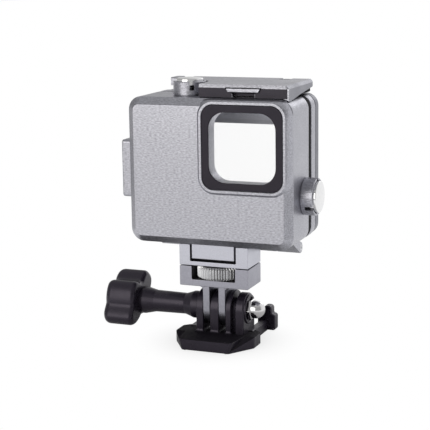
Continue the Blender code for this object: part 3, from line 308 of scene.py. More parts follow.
def skin(loops, closed=False):
    """Four-sided faces between neighbouring loops, each of which runs round. The last loop joins the first
    where closed is true; otherwise each end gets a lid."""
    loops = np.asarray(loops)
    index = np.arange(loops.shape[0] * loops.shape[1]).reshape(loops.shape[:2])
    after = np.roll(index, -1, 1)
    upper, upper_after = np.roll(index, -1, 0), np.roll(after, -1, 0)
    quads = np.stack([index, after, upper_after, upper], -1)
    if closed:
        return loops.reshape(-1, 3), quads.reshape(-1, 4).tolist()
    lids = [index[0, ::-1].tolist(), index[-1].tolist()]
    return loops.reshape(-1, 3), quads[:-1].reshape(-1, 4).tolist() + lids


def rim(edge, steps):
    """How far a rounded rim is drawn in and how far it has risen: edge * (1 - sin t), edge * (1 - cos t)."""
    if not edge:
        return np.zeros(1), np.zeros(1)
    turn = np.linspace(0, np.pi / 2, steps + 1)
    return edge * (1 - np.sin(turn)), edge * (1 - np.cos(turn))


def rims(low, high, low_edge, high_edge, low_steps, high_steps):
    """Steps of (inset, level) from low to high, with a rounded rim at each end."""
    low_in, low_up = rim(low_edge, low_steps)
    high_in, high_down = rim(high_edge, high_steps)
    drawn = np.concatenate([low_in, high_in[::-1]])
    return np.stack([drawn, np.concatenate([low + low_up, high - high_down[::-1]])], -1)


def slab(outline, low, high, along, low_edge, high_edge, steps=3):
    """Outline carried from low to high along an axis, with a rounded rim at each end."""
    outline = counter_clockwise(outline)
    line = rims(low, high, low_edge, high_edge, steps, steps)
    return skin([lay(inset(outline, drawn), along, level) for drawn, level in line])


def turned(profile, centre, along, closed=False, steps=64):
    """Profile of (radius, level) points turned about an axis: centre + radius * (cos, sin) at each level."""
    ring = circle(full_turn(steps))
    return skin([lay(np.array(centre) + radius * ring, along, level) for radius, level in profile], closed)


def carried(profile, outlines, along, closed=True):
    """Profile of (name, inset, level) steps: the named outline, drawn in and laid at its level."""
    return skin([lay(outlines[name](drawn), along, level) for name, drawn, level in profile], closed)


# Materials

def shader_of(name):
    made = bpy.data.materials.new(name)
    made.use_nodes = True
    tree = made.node_tree
    return made, tree, tree.nodes["Principled BSDF"]


def noise_on(tree, scale, detail=3.0, stretch=(1.0, 1.0, 1.0)):
    """Noise over the piece's own coordinates, in repeats per metre."""
    place = tree.nodes.new("ShaderNodeTexCoord")
    mapping = tree.nodes.new("ShaderNodeMapping")
    mapping.inputs["Scale"].default_value = stretch
    noise = tree.nodes.new("ShaderNodeTexNoise")
    noise.inputs["Scale"].default_value = scale
    noise.inputs["Detail"].default_value = detail
    tree.links.new(place.outputs["Object"], mapping.inputs["Vector"])
    tree.links.new(mapping.outputs["Vector"], noise.inputs["Vector"])
    return noise.outputs["Fac"]


def ramp_on(tree, factor, low, high, start=NOISE_LOW, end=NOISE_HIGH):
    """Colour between low and high as the factor runs from start to end."""
    ramp = tree.nodes.new("ShaderNodeValToRGB")
    ramp.color_ramp.elements[0].position = start
    ramp.color_ramp.elements[1].position = end
    ramp.color_ramp.elements[0].color = (*low, 1.0)
    ramp.color_ramp.elements[1].color = (*high, 1.0)
    tree.links.new(factor, ramp.inputs["Fac"])
    return ramp.outputs["Color"]


def range_on(tree, factor, low, high):
    """Number between low and high as the factor runs over the middle of the noise."""
    scale = tree.nodes.new("ShaderNodeMapRange")
    scale.inputs["From Min"].default_value = NOISE_LOW
    scale.inputs["From Max"].default_value = NOISE_HIGH
    scale.inputs["To Min"].default_value = low
    scale.inputs["To Max"].default_value = high
    tree.links.new(factor, scale.inputs["Value"])
    return scale.outputs["Result"]


def smooth_on(tree, value, start, end, low=0.0, high=1.0):
    """Number that eases from low to high as the value runs from start to end."""
    step = tree.nodes.new("ShaderNodeMapRange")
    step.interpolation_type = "SMOOTHSTEP"
    for socket, number in (("From Min", start), ("From Max", end), ("To Min", low), ("To Max", high)):
        step.inputs[socket].default_value = number
    tree.links.new(value, step.inputs["Value"])
    return step.outputs["Result"]


def combine_on(tree, operation, first, second):
    node = tree.nodes.new("ShaderNodeMath")
    node.operation = operation
    tree.links.new(first, node.inputs[0])
    tree.links.new(second, node.inputs[1])
    return node.outputs["Value"]


def along_on(tree, place, direction):
    """How far a place lies along a direction."""
    lean = tree.nodes.new("ShaderNodeVectorMath")
    lean.operation = "DOT_PRODUCT"
    lean.inputs[1].default_value = direction
    tree.links.new(place, lean.inputs[0])
    return lean.outputs["Value"]


def bump_on(tree, shader, height, strength, distance):
    bump = tree.nodes.new("ShaderNodeBump")
    bump.inputs["Strength"].default_value = strength
    bump.inputs["Distance"].default_value = distance
    tree.links.new(height, bump.inputs["Height"])
    tree.links.new(bump.outputs["Normal"], shader.inputs["Normal"])


def grained(name, low, high, roughness, metallic, grain, patch, relief, stretch=(1.0, 1.0, 1.0)):
    """Surface whose fine grain moves the colour from low to high and raises a bump, and whose broad patches
    move the roughness."""
    made, tree, shader = shader_of(name)
    fine = noise_on(tree, grain, 4.0, stretch)
    broad = noise_on(tree, patch, 2.0, stretch)
    tree.links.new(ramp_on(tree, fine, low, high), shader.inputs["Base Color"])
    tree.links.new(range_on(tree, broad, roughness[0], roughness[1]), shader.inputs["Roughness"])
    shader.inputs["Metallic"].default_value = metallic
    bump_on(tree, shader, fine, relief, BUMP_DEPTH)
    return made


def clear_glass(name):
    """Thin clear pane: mostly see-through, with a faint smear in its gloss."""
    made, tree, shader = shader_of(name)
    smear = noise_on(tree, 90.0)
    tree.links.new(range_on(tree, smear, 0.02, 0.06), shader.inputs["Roughness"])
    shader.inputs["Base Color"].default_value = (0.92, 0.95, 0.97, 1.0)
    shader.inputs["Alpha"].default_value = 0.022
    return made


blasted_grey = grained("blasted_grey_aluminium", (0.292, 0.292, 0.322), (0.515, 0.516, 0.566), (0.33, 0.40),
                       1.0, 2200.0, 120.0, 0.40, (0.40, 1.0, 1.0))
cover_grey = grained("dark_cover_grey", (0.165, 0.167, 0.190), (0.235, 0.238, 0.272), (0.36, 0.44), 1.0,
                     2200.0, 120.0, 0.30, (0.40, 1.0, 1.0))
# Painted shade: a darker copy of the grey for the latch plate's right end faces.
painted_shade_end_grey = grained("end_face_painted_shade", (0.215, 0.217, 0.245), (0.285, 0.288, 0.324), (0.36, 0.44), 1.0,
                   2200.0, 120.0, 0.20, (0.40, 1.0, 1.0))
# Painted light: a light grey for faces inside the housing, which get little light, and for the window seal.
painted_light_inner_grey = grained("housing_inside_painted_light", (0.72, 0.72, 0.79), (0.80, 0.80, 0.88), (0.45, 0.55), 0.2,
                     1600.0, 150.0, 0.10)
# Painted shade: near-black for the wheel's slot, the bracket's opening and tops under the case, and the pin's
# end holes.
painted_pocket_shade = grained("black_painted_shade", (0.012, 0.011, 0.014), (0.018, 0.016, 0.020), (0.50, 0.62), 0.0,
                       1600.0, 150.0, 0.10)
mount_grey = grained("milled_grey_aluminium", (0.305, 0.304, 0.348), (0.360, 0.359, 0.408), (0.32, 0.40), 1.0,
                     1800.0, 150.0, 0.15)
# Satin silver: the bracket's own finish, also used as painted light on the foot.
silver_and_foot_light = grained("silver_bracket_and_painted_foot_light", (0.475, 0.480, 0.535), (0.535, 0.540, 0.600), (0.30, 0.38),
                       1.0, 2200.0, 150.0, 0.12)
knurled_steel = grained("knurled_steel", (0.66, 0.66, 0.67), (0.76, 0.76, 0.77), (0.18, 0.26), 1.0,
                        1600.0, 160.0, 0.06)
nut_chrome = grained("nut_chrome", (0.66, 0.65, 0.66), (0.74, 0.73, 0.74), (0.05, 0.10), 1.0,
                     900.0, 220.0, 0.02)
# Charcoal: the bezel's own paint, also used as painted shade on the latch catch.
bezel_and_catch_shade_finish = grained("charcoal_bezel_and_painted_catch_shade", (0.009, 0.008, 0.0115), (0.015, 0.0135, 0.0185), (0.40, 0.50),
                      0.0, 2600.0, 140.0, 0.12)
# Dark charcoal for the strips on the latch skirt's front, and painted shade at the back of the finger recess.
dark_skirt_and_recess_shade = grained("dark_skirt_and_painted_recess_shade", (0.028, 0.026, 0.032), (0.038, 0.036, 0.043), (0.40, 0.50),
                         0.0, 2600.0, 140.0, 0.12)
moulded_black = grained("moulded_black_plastic", (0.0115, 0.0092, 0.0150), (0.0170, 0.0140, 0.0220),
                        (0.25, 0.35), 0.0, 2400.0, 160.0, 0.14)
# Matt deck black: partly the deck's real matt finish, partly painted shade, as its colour is darker as well.
matt_deck_painted_shade = grained("matt_black_deck_with_painted_shade", (0.006, 0.005, 0.0075), (0.010, 0.0085, 0.012), (0.58, 0.68), 0.0,
                     2400.0, 160.0, 0.20)
black_rubber = grained("black_rubber", (0.004, 0.004, 0.005), (0.008, 0.008, 0.009), (0.62, 0.74), 0.0,
                       2000.0, 200.0, 0.15)
knurl_shadow = grained("knurl_shadow", (0.13, 0.13, 0.135), (0.18, 0.18, 0.185), (0.35, 0.45), 1.0,
                       1600.0, 160.0, 0.06)
turned_steel = grained("turned_steel", (0.60, 0.60, 0.61), (0.68, 0.68, 0.69), (0.20, 0.28), 1.0,
                       1600.0, 160.0, 0.06)
bright_chrome = grained("bright_chrome", (0.76, 0.76, 0.77), (0.82, 0.82, 0.82), (0.05, 0.10), 1.0,
                        900.0, 220.0, 0.02)
for finish, gloss in ((bezel_and_catch_shade_finish, 0.35), (dark_skirt_and_recess_shade, 0.35), (moulded_black, 0.45), (matt_deck_painted_shade, 0.15),
                      (black_rubber, 0.12)):
    shader = finish.node_tree.nodes["Principled BSDF"]
    shader.inputs["Specular IOR Level"].default_value = gloss
    shader.inputs["Specular Tint"].default_value = (0.92, 0.84, 1.0, 1.0)
pane_glass = clear_glass("pane_glass")

SLOT_FINISH = {
    "grey_aluminium": blasted_grey, "bright_aluminium": silver_and_foot_light, "charcoal_bezel": bezel_and_catch_shade_finish,
    "steel": turned_steel, "chrome": bright_chrome, "black_plastic": moulded_black, "rubber": black_rubber,
    "glass": pane_glass,
}


def show(name, data):
    """New object in the scene, at the origin."""
    made = bpy.data.objects.new(name, data)
    bpy.context.scene.collection.objects.link(made)
    return made


def piece(name, body, finish, shells, stands_for=(), lining=None):
    """One object from several skins, with its faces outwards and flat faces kept flat between soft edges.
    A lining is a second finish, and the test that picks its faces from their centres and normals."""
    counts = np.cumsum([0] + [len(points) for points, faces in shells])
    points = np.concatenate([points for points, faces in shells])
    faces = [[corner + start for corner in face] for start, (_, made) in zip(counts, shells) for face in made]
    mesh = bpy.data.meshes.new(name)
    mesh.from_pydata(points.tolist(), [], faces)
    solid = bmesh.new()
    solid.from_mesh(mesh)
    bmesh.ops.remove_doubles(solid, verts=solid.verts, dist=SAME_POINT)
    bmesh.ops.recalc_face_normals(solid, faces=solid.faces)
    solid.to_mesh(mesh)
    solid.free()
    mesh.shade_smooth()
    mesh.set_sharp_from_angle(angle=np.radians(SHARP_ANGLE))
    mesh.materials.append(finish)
    if lining:
        centre, normal = np.empty((2, len(mesh.polygons) * 3))
        mesh.polygons.foreach_get("center", centre)
        mesh.polygons.foreach_get("normal", normal)
        second, chosen = lining
        mesh.materials.append(second)
        picked = chosen(centre.reshape(-1, 3), normal.reshape(-1, 3))
        mesh.polygons.foreach_set("material_index", picked.astype(np.int32))
    made = show(name, mesh)
    weigh = made.modifiers.new("flat_faces", "WEIGHTED_NORMAL")
    weigh.keep_sharp = True
    weigh.weight = 80
    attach(made, body)
    if stands_for:
        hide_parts(*stands_for)
    return made


# Front shell

def case_outline(drawn):
    side = case_right - drawn
    return rounded(-side, side, case_bottom + drawn, case_top - drawn, CASE_CORNER - drawn)


def bay_outline(drawn):
    side = case_right - SIDE_WALL - drawn
    low, high = case_bottom + BOTTOM_WALL + drawn, case_top - TOP_WALL - drawn
    return rounded(-side, side, low, high, BAY_CORNER - drawn)


def port_square(side, corner):
    """Outline maker for a rounded square about the lens, drawn in by a given distance."""
    def outline(drawn):
        half = side / 2 - drawn
        radius = max(corner - drawn, LEAST_CORNER)
        return rounded(port_x - half, port_x + half, port_z - half, port_z + half, radius)
    return outline


pocket_side = bezel_high[0] - bezel_low[0] + 2 * SEAT
glass_side = OPENING_SIDE + 2 * GLASS_LEDGE
OUTLINES = {
    "case": case_outline,
    "bay": bay_outline,
    "pocket": port_square(pocket_side, PORT_CORNER),
    "hole": port_square(glass_side - 0.0007, OPENING_CORNER + GLASS_LEDGE),
    "opening": port_square(OPENING_SIDE, OPENING_CORNER),
}


def tunnel_outline(drawn):
    """Outside of the lens tunnel: the pocket's outline, held inside the bay's right and top walls."""
    points = OUTLINES["pocket"](drawn)
    points[:, 0] = np.minimum(points[:, 0], case_right - SIDE_WALL - HAIR)
    points[:, 1] = np.minimum(points[:, 1], case_top - TOP_WALL - HAIR)
    return points


OUTLINES["tunnel"] = tunnel_outline


def named(name, line):
    """Steps of one named outline along a line of (inset, level) points."""
    return [(name, drawn, level) for drawn, level in line]


def shell_skin():
    """Shell's section carried round: back edge, side, front chamfer, front face, lens pocket, tunnel, bay."""
    outer = ease([(0.0012, case_back), (0, case_back), (0, case_front + CASE_CHAMFER),
                  (CASE_CHAMFER, case_front), (CASE_CHAMFER + 0.00025, case_front)], 0.0003)
    pocket_back = bezel_low[1] + 0.0006
    tunnel_back = port_front + PORT_DEPTH
    inner_face = case_front + FRONT_WALL
    steps = [("bay", -0.0002, case_back)] + named("case", outer)
    steps += [("hole", 0, case_front), ("hole", 0, pocket_back), ("opening", 0, pocket_back)]
    steps += [("opening", 0, tunnel_back - 0.0003), ("opening", -0.0003, tunnel_back)]
    steps += [("tunnel", 0.0003, tunnel_back), ("tunnel", 0, tunnel_back - 0.0003), ("tunnel", 0, inner_face)]
    steps += [("bay", 0, inner_face), ("bay", 0, case_back - 0.0002)]
    return carried(steps, OUTLINES, "Y")


def port_rim_skin():
    """Raised rim round the lens: a narrow flat, a small chamfer, then a wall whose flare grows as
    1 - (1 - s) ** 2 along its depth. Beyond the rim's right side and top, the flare is scaled to end level with
    the case's own side and top."""
    side = pocket_side + 2 * PORT_RIM
    outlines = {"rim": port_square(side, PORT_CORNER + PORT_RIM), "pocket": OUTLINES["pocket"]}
    start, flare = port_front + PORT_EDGE, case_front + PORT_BLEND
    share = np.linspace(0, 1, 12)
    wall = np.stack([-PORT_TAPER * (1 - (1 - share) ** 2), start + (flare - start) * share], -1)
    edge = ease([(PORT_RIM, port_front), (PORT_EDGE, port_front), wall[0], wall[1]], 0.00015)[1:-1]
    steps = named("rim", np.concatenate([edge, wall[1:], [(-PORT_TAPER, flare + 0.0004)]]))
    steps += [("pocket", 0, flare + 0.0004), ("pocket", 0, port_front + 0.00012)]
    steps += [("pocket", -0.00012, port_front)]
    points, faces = carried(steps, outlines, "Y")
    for axis, middle, limit in ((0, port_x, case_right), (2, port_z, case_top)):
        rim_edge = middle + side / 2
        beyond = np.maximum(points[:, axis] - rim_edge, 0)
        points[:, axis] += beyond * ((limit + HAIR - rim_edge) / PORT_TAPER - 1)
    return points, faces


def foot_skin():
    """Foot: a block that hangs one gap above the bracket's web."""
    low, high = bracket_low[2] + BRACKET_WEB + FOOT_GAP, case_bottom + SUNK
    outline = soft_box(FOOT_LEFT, FOOT_RIGHT, low, high, 0.0004)
    return slab(outline, bracket_low[1], bracket_high[1], "Y", 0.0004, 0.0004)


def case_lug(side):
    outer = hinge_high[0] + SEAT
    low, high = sorted((side * outer, side * (outer - CASE_KNUCKLE)))
    outline = teardrop((hinge_y, hinge_z), KNUCKLE_RADIUS,
                       (case_back - HINGE_LUG - (door_front - case_back), case_bottom + SUNK),
                       (case_back - LUG_GAP, case_bottom + SUNK))
    return slab(outline, low, high, "X", 0.0002, 0.0002)


def catch_skin():
    front, edge = latch_low[1] + LATCH_SKIRT + 0.0010, 0.00015
    outline = soft_box(front, front + CATCH_DEPTH, case_top - SUNK, shell_high[2], edge)
    return slab(outline, lock_x - RECESS_WIDTH / 2, lock_x + RECESS_WIDTH / 2, "X", edge, edge)


# Faces of the foot below the case, which take the brighter silver as painted light against the shade of the
# case's overhang.
def painted_light_on_foot(centre, normal):
    return (centre[:, 2] < case_bottom) & (np.abs(centre[:, 0]) < -BRACKET_LEFT)


piece("front_shell", "housing", blasted_grey,
      [shell_skin(), foot_skin(), case_lug(-1), case_lug(1)], ["front_case"], (silver_and_foot_light, painted_light_on_foot))
# The catch in the finger recess takes the bezel's charcoal as painted shade.
piece("latch_catch", "housing", bezel_and_catch_shade_finish, [catch_skin()])
piece("lens_port_rim", "housing", blasted_grey, [port_rim_skin()])


# Lens

def bezel_skin():
    """Flat bezel: eased outer edge, and an inner edge that is undercut, so that the metal behind it shows."""
    outlines = {"outer": port_square(pocket_side - 2 * SEAT, PORT_CORNER - SEAT), "inner": OUTLINES["opening"]}
    front, back = bezel_low[1], bezel_high[1]
    outer = ease([(0.0008, front), (0, front), (0, back)], 0.0003)
    inner = ease([(-0.0010, back), (-0.0010, front + 0.0005), (0, front + 0.00035), (0, front),
                  (-0.0008, front)], 0.00012)
    return carried(named("outer", outer) + named("inner", inner), outlines, "Y")


def pane_skin(low, high, corner):
    outline = rounded(low[0], high[0], low[2], high[2], corner)
    return slab(outline, low[1], high[1], "Y", 0.0002, 0.0002, 2)


def lens_pane_skin():
    outline = OUTLINES["opening"](2 * HAIR)
    return slab(outline, glass_low[1], glass_high[1], "Y", 0.0002, 0.0002, 2)


piece("lens_bezel_ring", "housing", bezel_and_catch_shade_finish, [bezel_skin()], ["lens_bezel"])
piece("lens_pane", "housing", pane_glass, [lens_pane_skin()], ["lens_glass"])


# Rear door

def window_outline(drawn):
    """Opening in the window frame; the pane reaches one ledge beyond it."""
    edge = WINDOW_LEDGE - SEAT + drawn
    return rounded(window_low[0] + edge, window_high[0] - edge, window_low[2] + edge, window_high[2] - edge,
                   max(WINDOW_CORNER - drawn, LEAST_CORNER))


def cover_skin():
    """Window frame: side, chamfer and rear face, then the opening, the pane's pocket and the front face."""
    side, face = COVER_INSET, COVER_INSET + COVER_CHAMFER
    outer = ease([(side + 0.0010, cover_front), (side, cover_front), (side, cover_back - COVER_CHAMFER),
                  (face, cover_back), (face + COVER_CHAMFER, cover_back)], 0.0003)
    ledge = window_high[1] + 0.0007
    inner = ease([(-0.0016, cover_back), (0, cover_back), (0, ledge), (-WINDOW_LEDGE, ledge),
                  (-WINDOW_LEDGE, cover_front)], 0.0003)
    outlines = {"case": case_outline, "window": window_outline}
    return carried(named("case", outer) + named("window", inner), outlines, "Y")


def cover_lug(place):
    radius, root = latch_high[1] - latch_y - GAP, case_top - 2 * COVER_CHAMFER
    outline = teardrop((latch_y, latch_z), radius, (cover_back - COVER_CHAMFER, root),
                       (cover_front + SEAT, root))
    return slab(outline, place - LUG_WIDTH / 2, place + LUG_WIDTH / 2, "X", 0.0003, 0.0003)


def door_knuckle():
    reach = hinge_high[0] + SEAT - CASE_KNUCKLE - GAP
    outline = teardrop((hinge_y, hinge_z), KNUCKLE_RADIUS, (door_front + LUG_GAP, case_bottom + SUNK),
                       (door_front + HINGE_LUG, case_bottom + SUNK))
    return slab(outline, -reach, reach, "X", 0.0002, 0.0002)


def gasket_outline(drawn):
    return case_outline(SEAL_INSET + drawn)


def gasket_skin():
    """Gasket: flat against the shell, with a lip that fills the rebate in the door ring's front edge."""
    lip = door_front + RING_REBATE - 0.00005
    outer = ease([(0.0008, seal_low[1]), (0, seal_low[1]), (0, lip), (RING_REBATE - 0.0004, lip),
                  (RING_REBATE - 0.0004, seal_high[1])], 0.00025)
    inner = [(0.0, seal_high[1]), (0.0, seal_low[1])]
    outlines = {"outer": gasket_outline, "inner": bay_outline}
    return carried(named("outer", outer) + named("inner", inner), outlines, "Y")


def door_ring_skin():
    """Door ring: a rebate in front for the gasket's lip, the outer wall, and a rebate behind as a groove."""
    front, back = door_front + RING_REBATE, door_back - RING_GROOVE
    outer = ease([(RING_REBATE, door_front), (RING_REBATE, front), (0, front), (0, back), (RING_GROOVE, back),
                  (RING_GROOVE, door_back)], 0.00030)
    inner = [(0.0, door_back), (0.0, door_front)]
    outlines = {"outer": case_outline, "inner": bay_outline}
    return carried(named("outer", outer) + named("inner", inner), outlines, "Y")


def groove_band_skin():
    """Dark band at the bottom of the groove between the door ring and the window frame."""
    low, high = door_back - RING_GROOVE + 0.00005, cover_front + 0.0002
    outside, inside = 0.0005, RING_GROOVE + 0.0002
    outer = ease([(inside, low), (outside, low), (outside, high), (inside, high)], 0.00015)
    return carried(named("case", outer), {"case": case_outline}, "Y")


piece("groove_band", "rear_door", black_rubber, [groove_band_skin()])
piece("door_gasket", "rear_door", black_rubber, [gasket_skin()], ["door_seal"])
piece("door_ring", "rear_door", blasted_grey,
      [door_ring_skin(), door_knuckle()], ["door_frame"])
# The window frame's faces that look forward into the housing take the painted light grey.
piece("window_frame", "rear_door", cover_grey,
      [cover_skin(), cover_lug(-LUG_SPREAD / 2), cover_lug(LUG_SPREAD / 2)], ["rear_cover"],
      (painted_light_inner_grey, lambda centre, normal: normal[:, 1] < -0.8))
piece("window_pane", "rear_door", pane_glass,
      [pane_skin(window_low, window_high, WINDOW_CORNER + WINDOW_LEDGE - SEAT)], ["rear_window"])


# Screws and pins

def socket_screw(node, along, outward, shank, steps=48):
    """Countersunk screw with a six-sided socket: the socket's radius at a turn t is
    flat / cos(t folded into plus or minus 30 degrees). Outward is the way its head looks along the axis."""
    low, high = span(node)
    axis = "XYZ".index(along)
    across = [i for i in range(3) if i != axis]
    centre = (low + high)[across] / 2
    head = (high - low)[across[0]] / 2
    end, top = (low[axis], high[axis])[::outward]
    turn = full_turn(steps)
    fold = (turn + np.pi / 6) % (np.pi / 3) - np.pi / 6
    socket = head * 0.46 / np.cos(fold)
    edge = 0.00012
    rows = [(head * 0.05, -head * 0.62), (socket * 0.9, -head * 0.55), (socket, -head * 0.5),
            (socket, -0.00005), (socket * 1.12, 0), (head - edge, 0), (head, -edge),
            (shank, shank - head - edge), (shank, outward * (end - top))]
    return skin([lay(centre + np.reshape(radius, (-1, 1)) * circle(turn), along, top + outward * down)
                 for radius, down in rows])


cover_screws = [f"cover_screw_{level}_{side}" for level in ("top", "bottom") for side in ("left", "right")]
for screws, body, along, outward, shank in (
        (cover_screws, "rear_door", "Y", 1, 0.0008),
        (("block_screw_lower", "block_screw_upper"), "housing", "X", -1, 0.0010),
        (("mount_screw_left", "mount_screw_right"), "housing", "Z", -1, 0.0014)):
    for screw in screws:
        piece(f"{screw}_socket", body, turned_steel,
              [socket_screw(screw, along, outward, shank)], [screw])


def rod_profile(radius, low, high, edge):
    return [(radius - edge, low), (radius, low + edge), (radius, high - edge), (radius - edge, high)]


def hollow_pin_profile(radius, bore, low, high, depth):
    """Pin with a blind hole in each end: from one hole's floor out round the pin to the other's."""
    left = [(bore * 0.05, low + depth), (bore, low + depth), (bore, low + 0.0001), (bore + 0.0001, low)]
    right = [(r, low + high - level) for r, level in left[::-1]]
    return left + rod_profile(radius, low, high, 0.0001) + right


# Faces inside the pin's end holes, which take painted shade.
def in_pin_hole(centre, normal):
    return np.hypot(centre[:, 1] - hinge_y, centre[:, 2] - hinge_z) < HINGE_PIN_BORE + 0.00001


piece("hinge_rod", "housing", turned_steel,
      [turned(hollow_pin_profile(HINGE_PIN_RADIUS, HINGE_PIN_BORE, hinge_low[0] - 2 * SEAT,
                                 hinge_high[0] + 2 * SEAT, HINGE_PIN_HOLE),
              (hinge_y, hinge_z), "X", steps=32)], ["hinge_pin"], (painted_pocket_shade, in_pin_hole))
piece("latch_rod", "rear_door", turned_steel,
      [turned(rod_profile(LATCH_PIN_RADIUS, latch_pin_low[0], latch_pin_high[0], 0.0002),
              (latch_y, latch_z), "X", steps=32)], ["latch_pin"])


# Latch

latch_front, latch_top = latch_low[1], latch_high[2]
latch_bottom = latch_low[2] + LEG_DROP + SKIRT_DROP
latch_right, latch_left = latch_high[0], latch_low[0]
strip_front = latch_high[1] - STRIP_DEPTH
skirt_line = latch_front + LATCH_SKIRT
bore_low, bore_high = lock_low[2] - GAP, lock_high[2] + GAP
bore_back = lock_high[1] + 0.0042
lug_room = LUG_WIDTH / 2 + GAP
collar_low, collar_high = span("shutter_collar")
button_x, button_y = (collar_low + collar_high)[:2] / 2
button_room = (collar_high[0] - collar_low[0]) / 2 + 0.0008


def underside(y):
    """Level of the plate's underside: even in front of the skirt line, then rising straight to the rear."""
    return latch_bottom + LATCH_RISE * np.clip((y - skirt_line) / (latch_y - skirt_line), 0, 1)


def latch_section(front, back, skirt=False, bored=False, recess=0.0, leg=0.0):
    """Section of the plate in sixteen points of (y, z): toe, front wall, bevel, roof, rear wall, underside and
    heel. The four wall points go round the lock's bore where there is one, the toe stands back in the finger
    recess, and leg, from 0 to 1, lowers the skirt and draws its heel back towards the rear."""
    soft = 0.0002
    bevel, brow_depth = (LATCH_BEVEL, LATCH_BROW) if skirt else (0.0004, 0.0004)
    brow, start = latch_top - bevel, front + recess
    hangs = skirt and not recess
    low = latch_bottom - SKIRT_DROP - LEG_DROP * leg if hangs else underside(start)
    wall_low = bore_low if skirt else low + 0.001
    wall = [(start, wall_low)] + [(front, wall_low + (brow - wall_low) * share) for share in (0.35, 0.65, 0.96)]
    nose = front
    if bored:
        nose = front + (bore_high - brow) * brow_depth / bevel
        wall = [(start, bore_low), (bore_back, bore_low), (bore_back, bore_high), (nose, bore_high)]
    crest = max(brow, bore_high + 0.00001) if bored else brow
    roof = [(nose + 0.00001, crest), (front + brow_depth, latch_top), (back - 2 * soft, latch_top)]
    rear = [(back, latch_top - 2 * soft), (back, underside(back) + soft), (back - soft, underside(back))]
    heel = start + soft * np.array([9.0, 7.0, 5.0, 3.0])
    heel_level = underside(heel)
    if hangs:
        heel = skirt_line + np.array([soft + 0.0105 * leg, 0.0059 * leg, 0.0017 * leg, 0.0012 * leg - soft])
        heel_level = np.array([latch_bottom, latch_bottom - 0.0007 * leg, low + soft, low])
    toe = [(start + soft, low), (start, low + soft)]
    return np.array(toe + wall + roof + rear + np.stack([heel, heel_level], -1).tolist())


def latch_skin():
    """Plate: sections carried along X. The front line is straight at the left, follows the circle round the
    shutter button, then steps out to the skirt; two stations at one place make each upright wall."""
    lug, notch = LUG_SPREAD / 2, cover_front - 0.0020
    bite = arc((button_x, button_y), button_room, 125, 5, 20)
    narrow = [(latch_left, strip_front, latch_y), (-lug - lug_room, strip_front, latch_y),
              (-lug - lug_room, strip_front, notch), (-lug + lug_room, strip_front, notch),
              (-lug + lug_room, strip_front, latch_y), (bite[0, 0], strip_front, latch_y)]
    narrow += [(x, y, latch_y) for x, y in bite] + [(SKIRT_LEFT, bite[-1, 1], latch_y)]
    half, finger = (lock_high[0] - lock_low[0]) / 2 + GAP, RECESS_WIDTH / 2
    wide = [(SKIRT_LEFT, latch_y, {}), (lock_x - half, latch_y, {}), (lock_x - half, latch_y, {"bored": True}),
            (lock_x - finger, latch_y, {"bored": True}),
            (lock_x - finger, latch_y, {"bored": True, "recess": RECESS_DEPTH}),
            (lock_x + finger, latch_y, {"bored": True, "recess": RECESS_DEPTH}),
            (lock_x + finger, latch_y, {"bored": True}), (lug - lug_room, latch_y, {"bored": True}),
            (lug - lug_room, notch, {"bored": True}), (lock_x + half, notch, {"bored": True}),
            (lock_x + half, notch, {}), (lug + lug_room, notch, {}), (lug + lug_room, latch_y, {}),
            (latch_right - LEG_LENGTH, latch_y, {})]
    turn = np.radians(np.array([0.0, 20.0, 42.0, 66.0, 90.0]))
    wide += [(latch_right - LATCH_TURN * (1 - np.sin(t)), latch_y - LATCH_TURN * (1 - np.cos(t)),
              {"leg": 1 - LATCH_TURN * (1 - np.sin(t)) / LEG_LENGTH}) for t in turn]
    sections = [latch_section(front, back) for x, front, back in narrow]
    sections += [latch_section(latch_front, back, True, **kind) for x, back, kind in wide]
    places = [row[0] for row in narrow + wide]
    loops = np.array([lay(section, "X", x) for section, x in zip(sections, places)])
    loops[..., 2] = np.minimum(loops[..., 2], latch_top - LATCH_END_BEVEL + latch_right - loops[..., 0])
    return skin(loops)


def skirt_strip(corners):
    """Thin dark strip let into the skirt's front, from its outline in the plane of X and Z."""
    return slab(soften(corners, 0.0002), latch_front - 0.00012, latch_front + 0.0003, "Y", 0.0001, 0.0)


def skirt_strips():
    low, high = latch_bottom - SKIRT_DROP + 0.0001, latch_top - LATCH_BEVEL - 0.0001
    lip_low = lock_high[2] - 0.0016
    left, right = lock_x - RECESS_WIDTH / 2 - 0.0001, lock_x + RECESS_WIDTH / 2 + 0.0001
    end = latch_right - 0.0007
    first = [(SKIRT_LEFT, low), (left, low), (left, lip_low), (left - 0.0017, lip_low), (left - 0.0027, high),
             (SKIRT_LEFT, high)]
    second = [(right, low), (end, low), (end, high), (right + 0.0027, high), (right + 0.0017, lip_low),
              (right, lip_low)]
    # Painted shade: a dark sheet across the back wall of the finger recess.
    painted_recess_shade = rounded(left, right, underside(skirt_line) + 0.0001, bore_low, 0.0002)
    recess_shade_front = latch_front + RECESS_DEPTH
    return [skirt_strip(first), skirt_strip(second),
            slab(painted_recess_shade, recess_shade_front - 0.0001, recess_shade_front + 0.0003, "Y", 0.0, 0.0)]


def latch_pad():
    """Soft pad under the plate's free end: its top follows the rising underside."""
    outline = rounded(latch_right - 0.0062, latch_right - 0.0008, latch_y - 0.0085, latch_y - 0.0016, 0.0010)
    return skin([lay(inset(outline, 0.0003), "Z", case_top + 0.0004), lay(outline, "Z", case_top + 0.0007),
                 lay(outline, "Z", underside(outline[:, 1]) + 0.0002)])


def barrel(low, high):
    radius = latch_z - latch_bottom
    return turned(rod_profile(radius, low, high, 0.0002), (latch_y, latch_z), "X")


# The latch plate's right end faces, which take the painted shade grey.
def on_latch_end(centre, normal):
    return (normal[:, 0] > 0.5) & (centre[:, 0] > latch_right - LATCH_END_BEVEL)


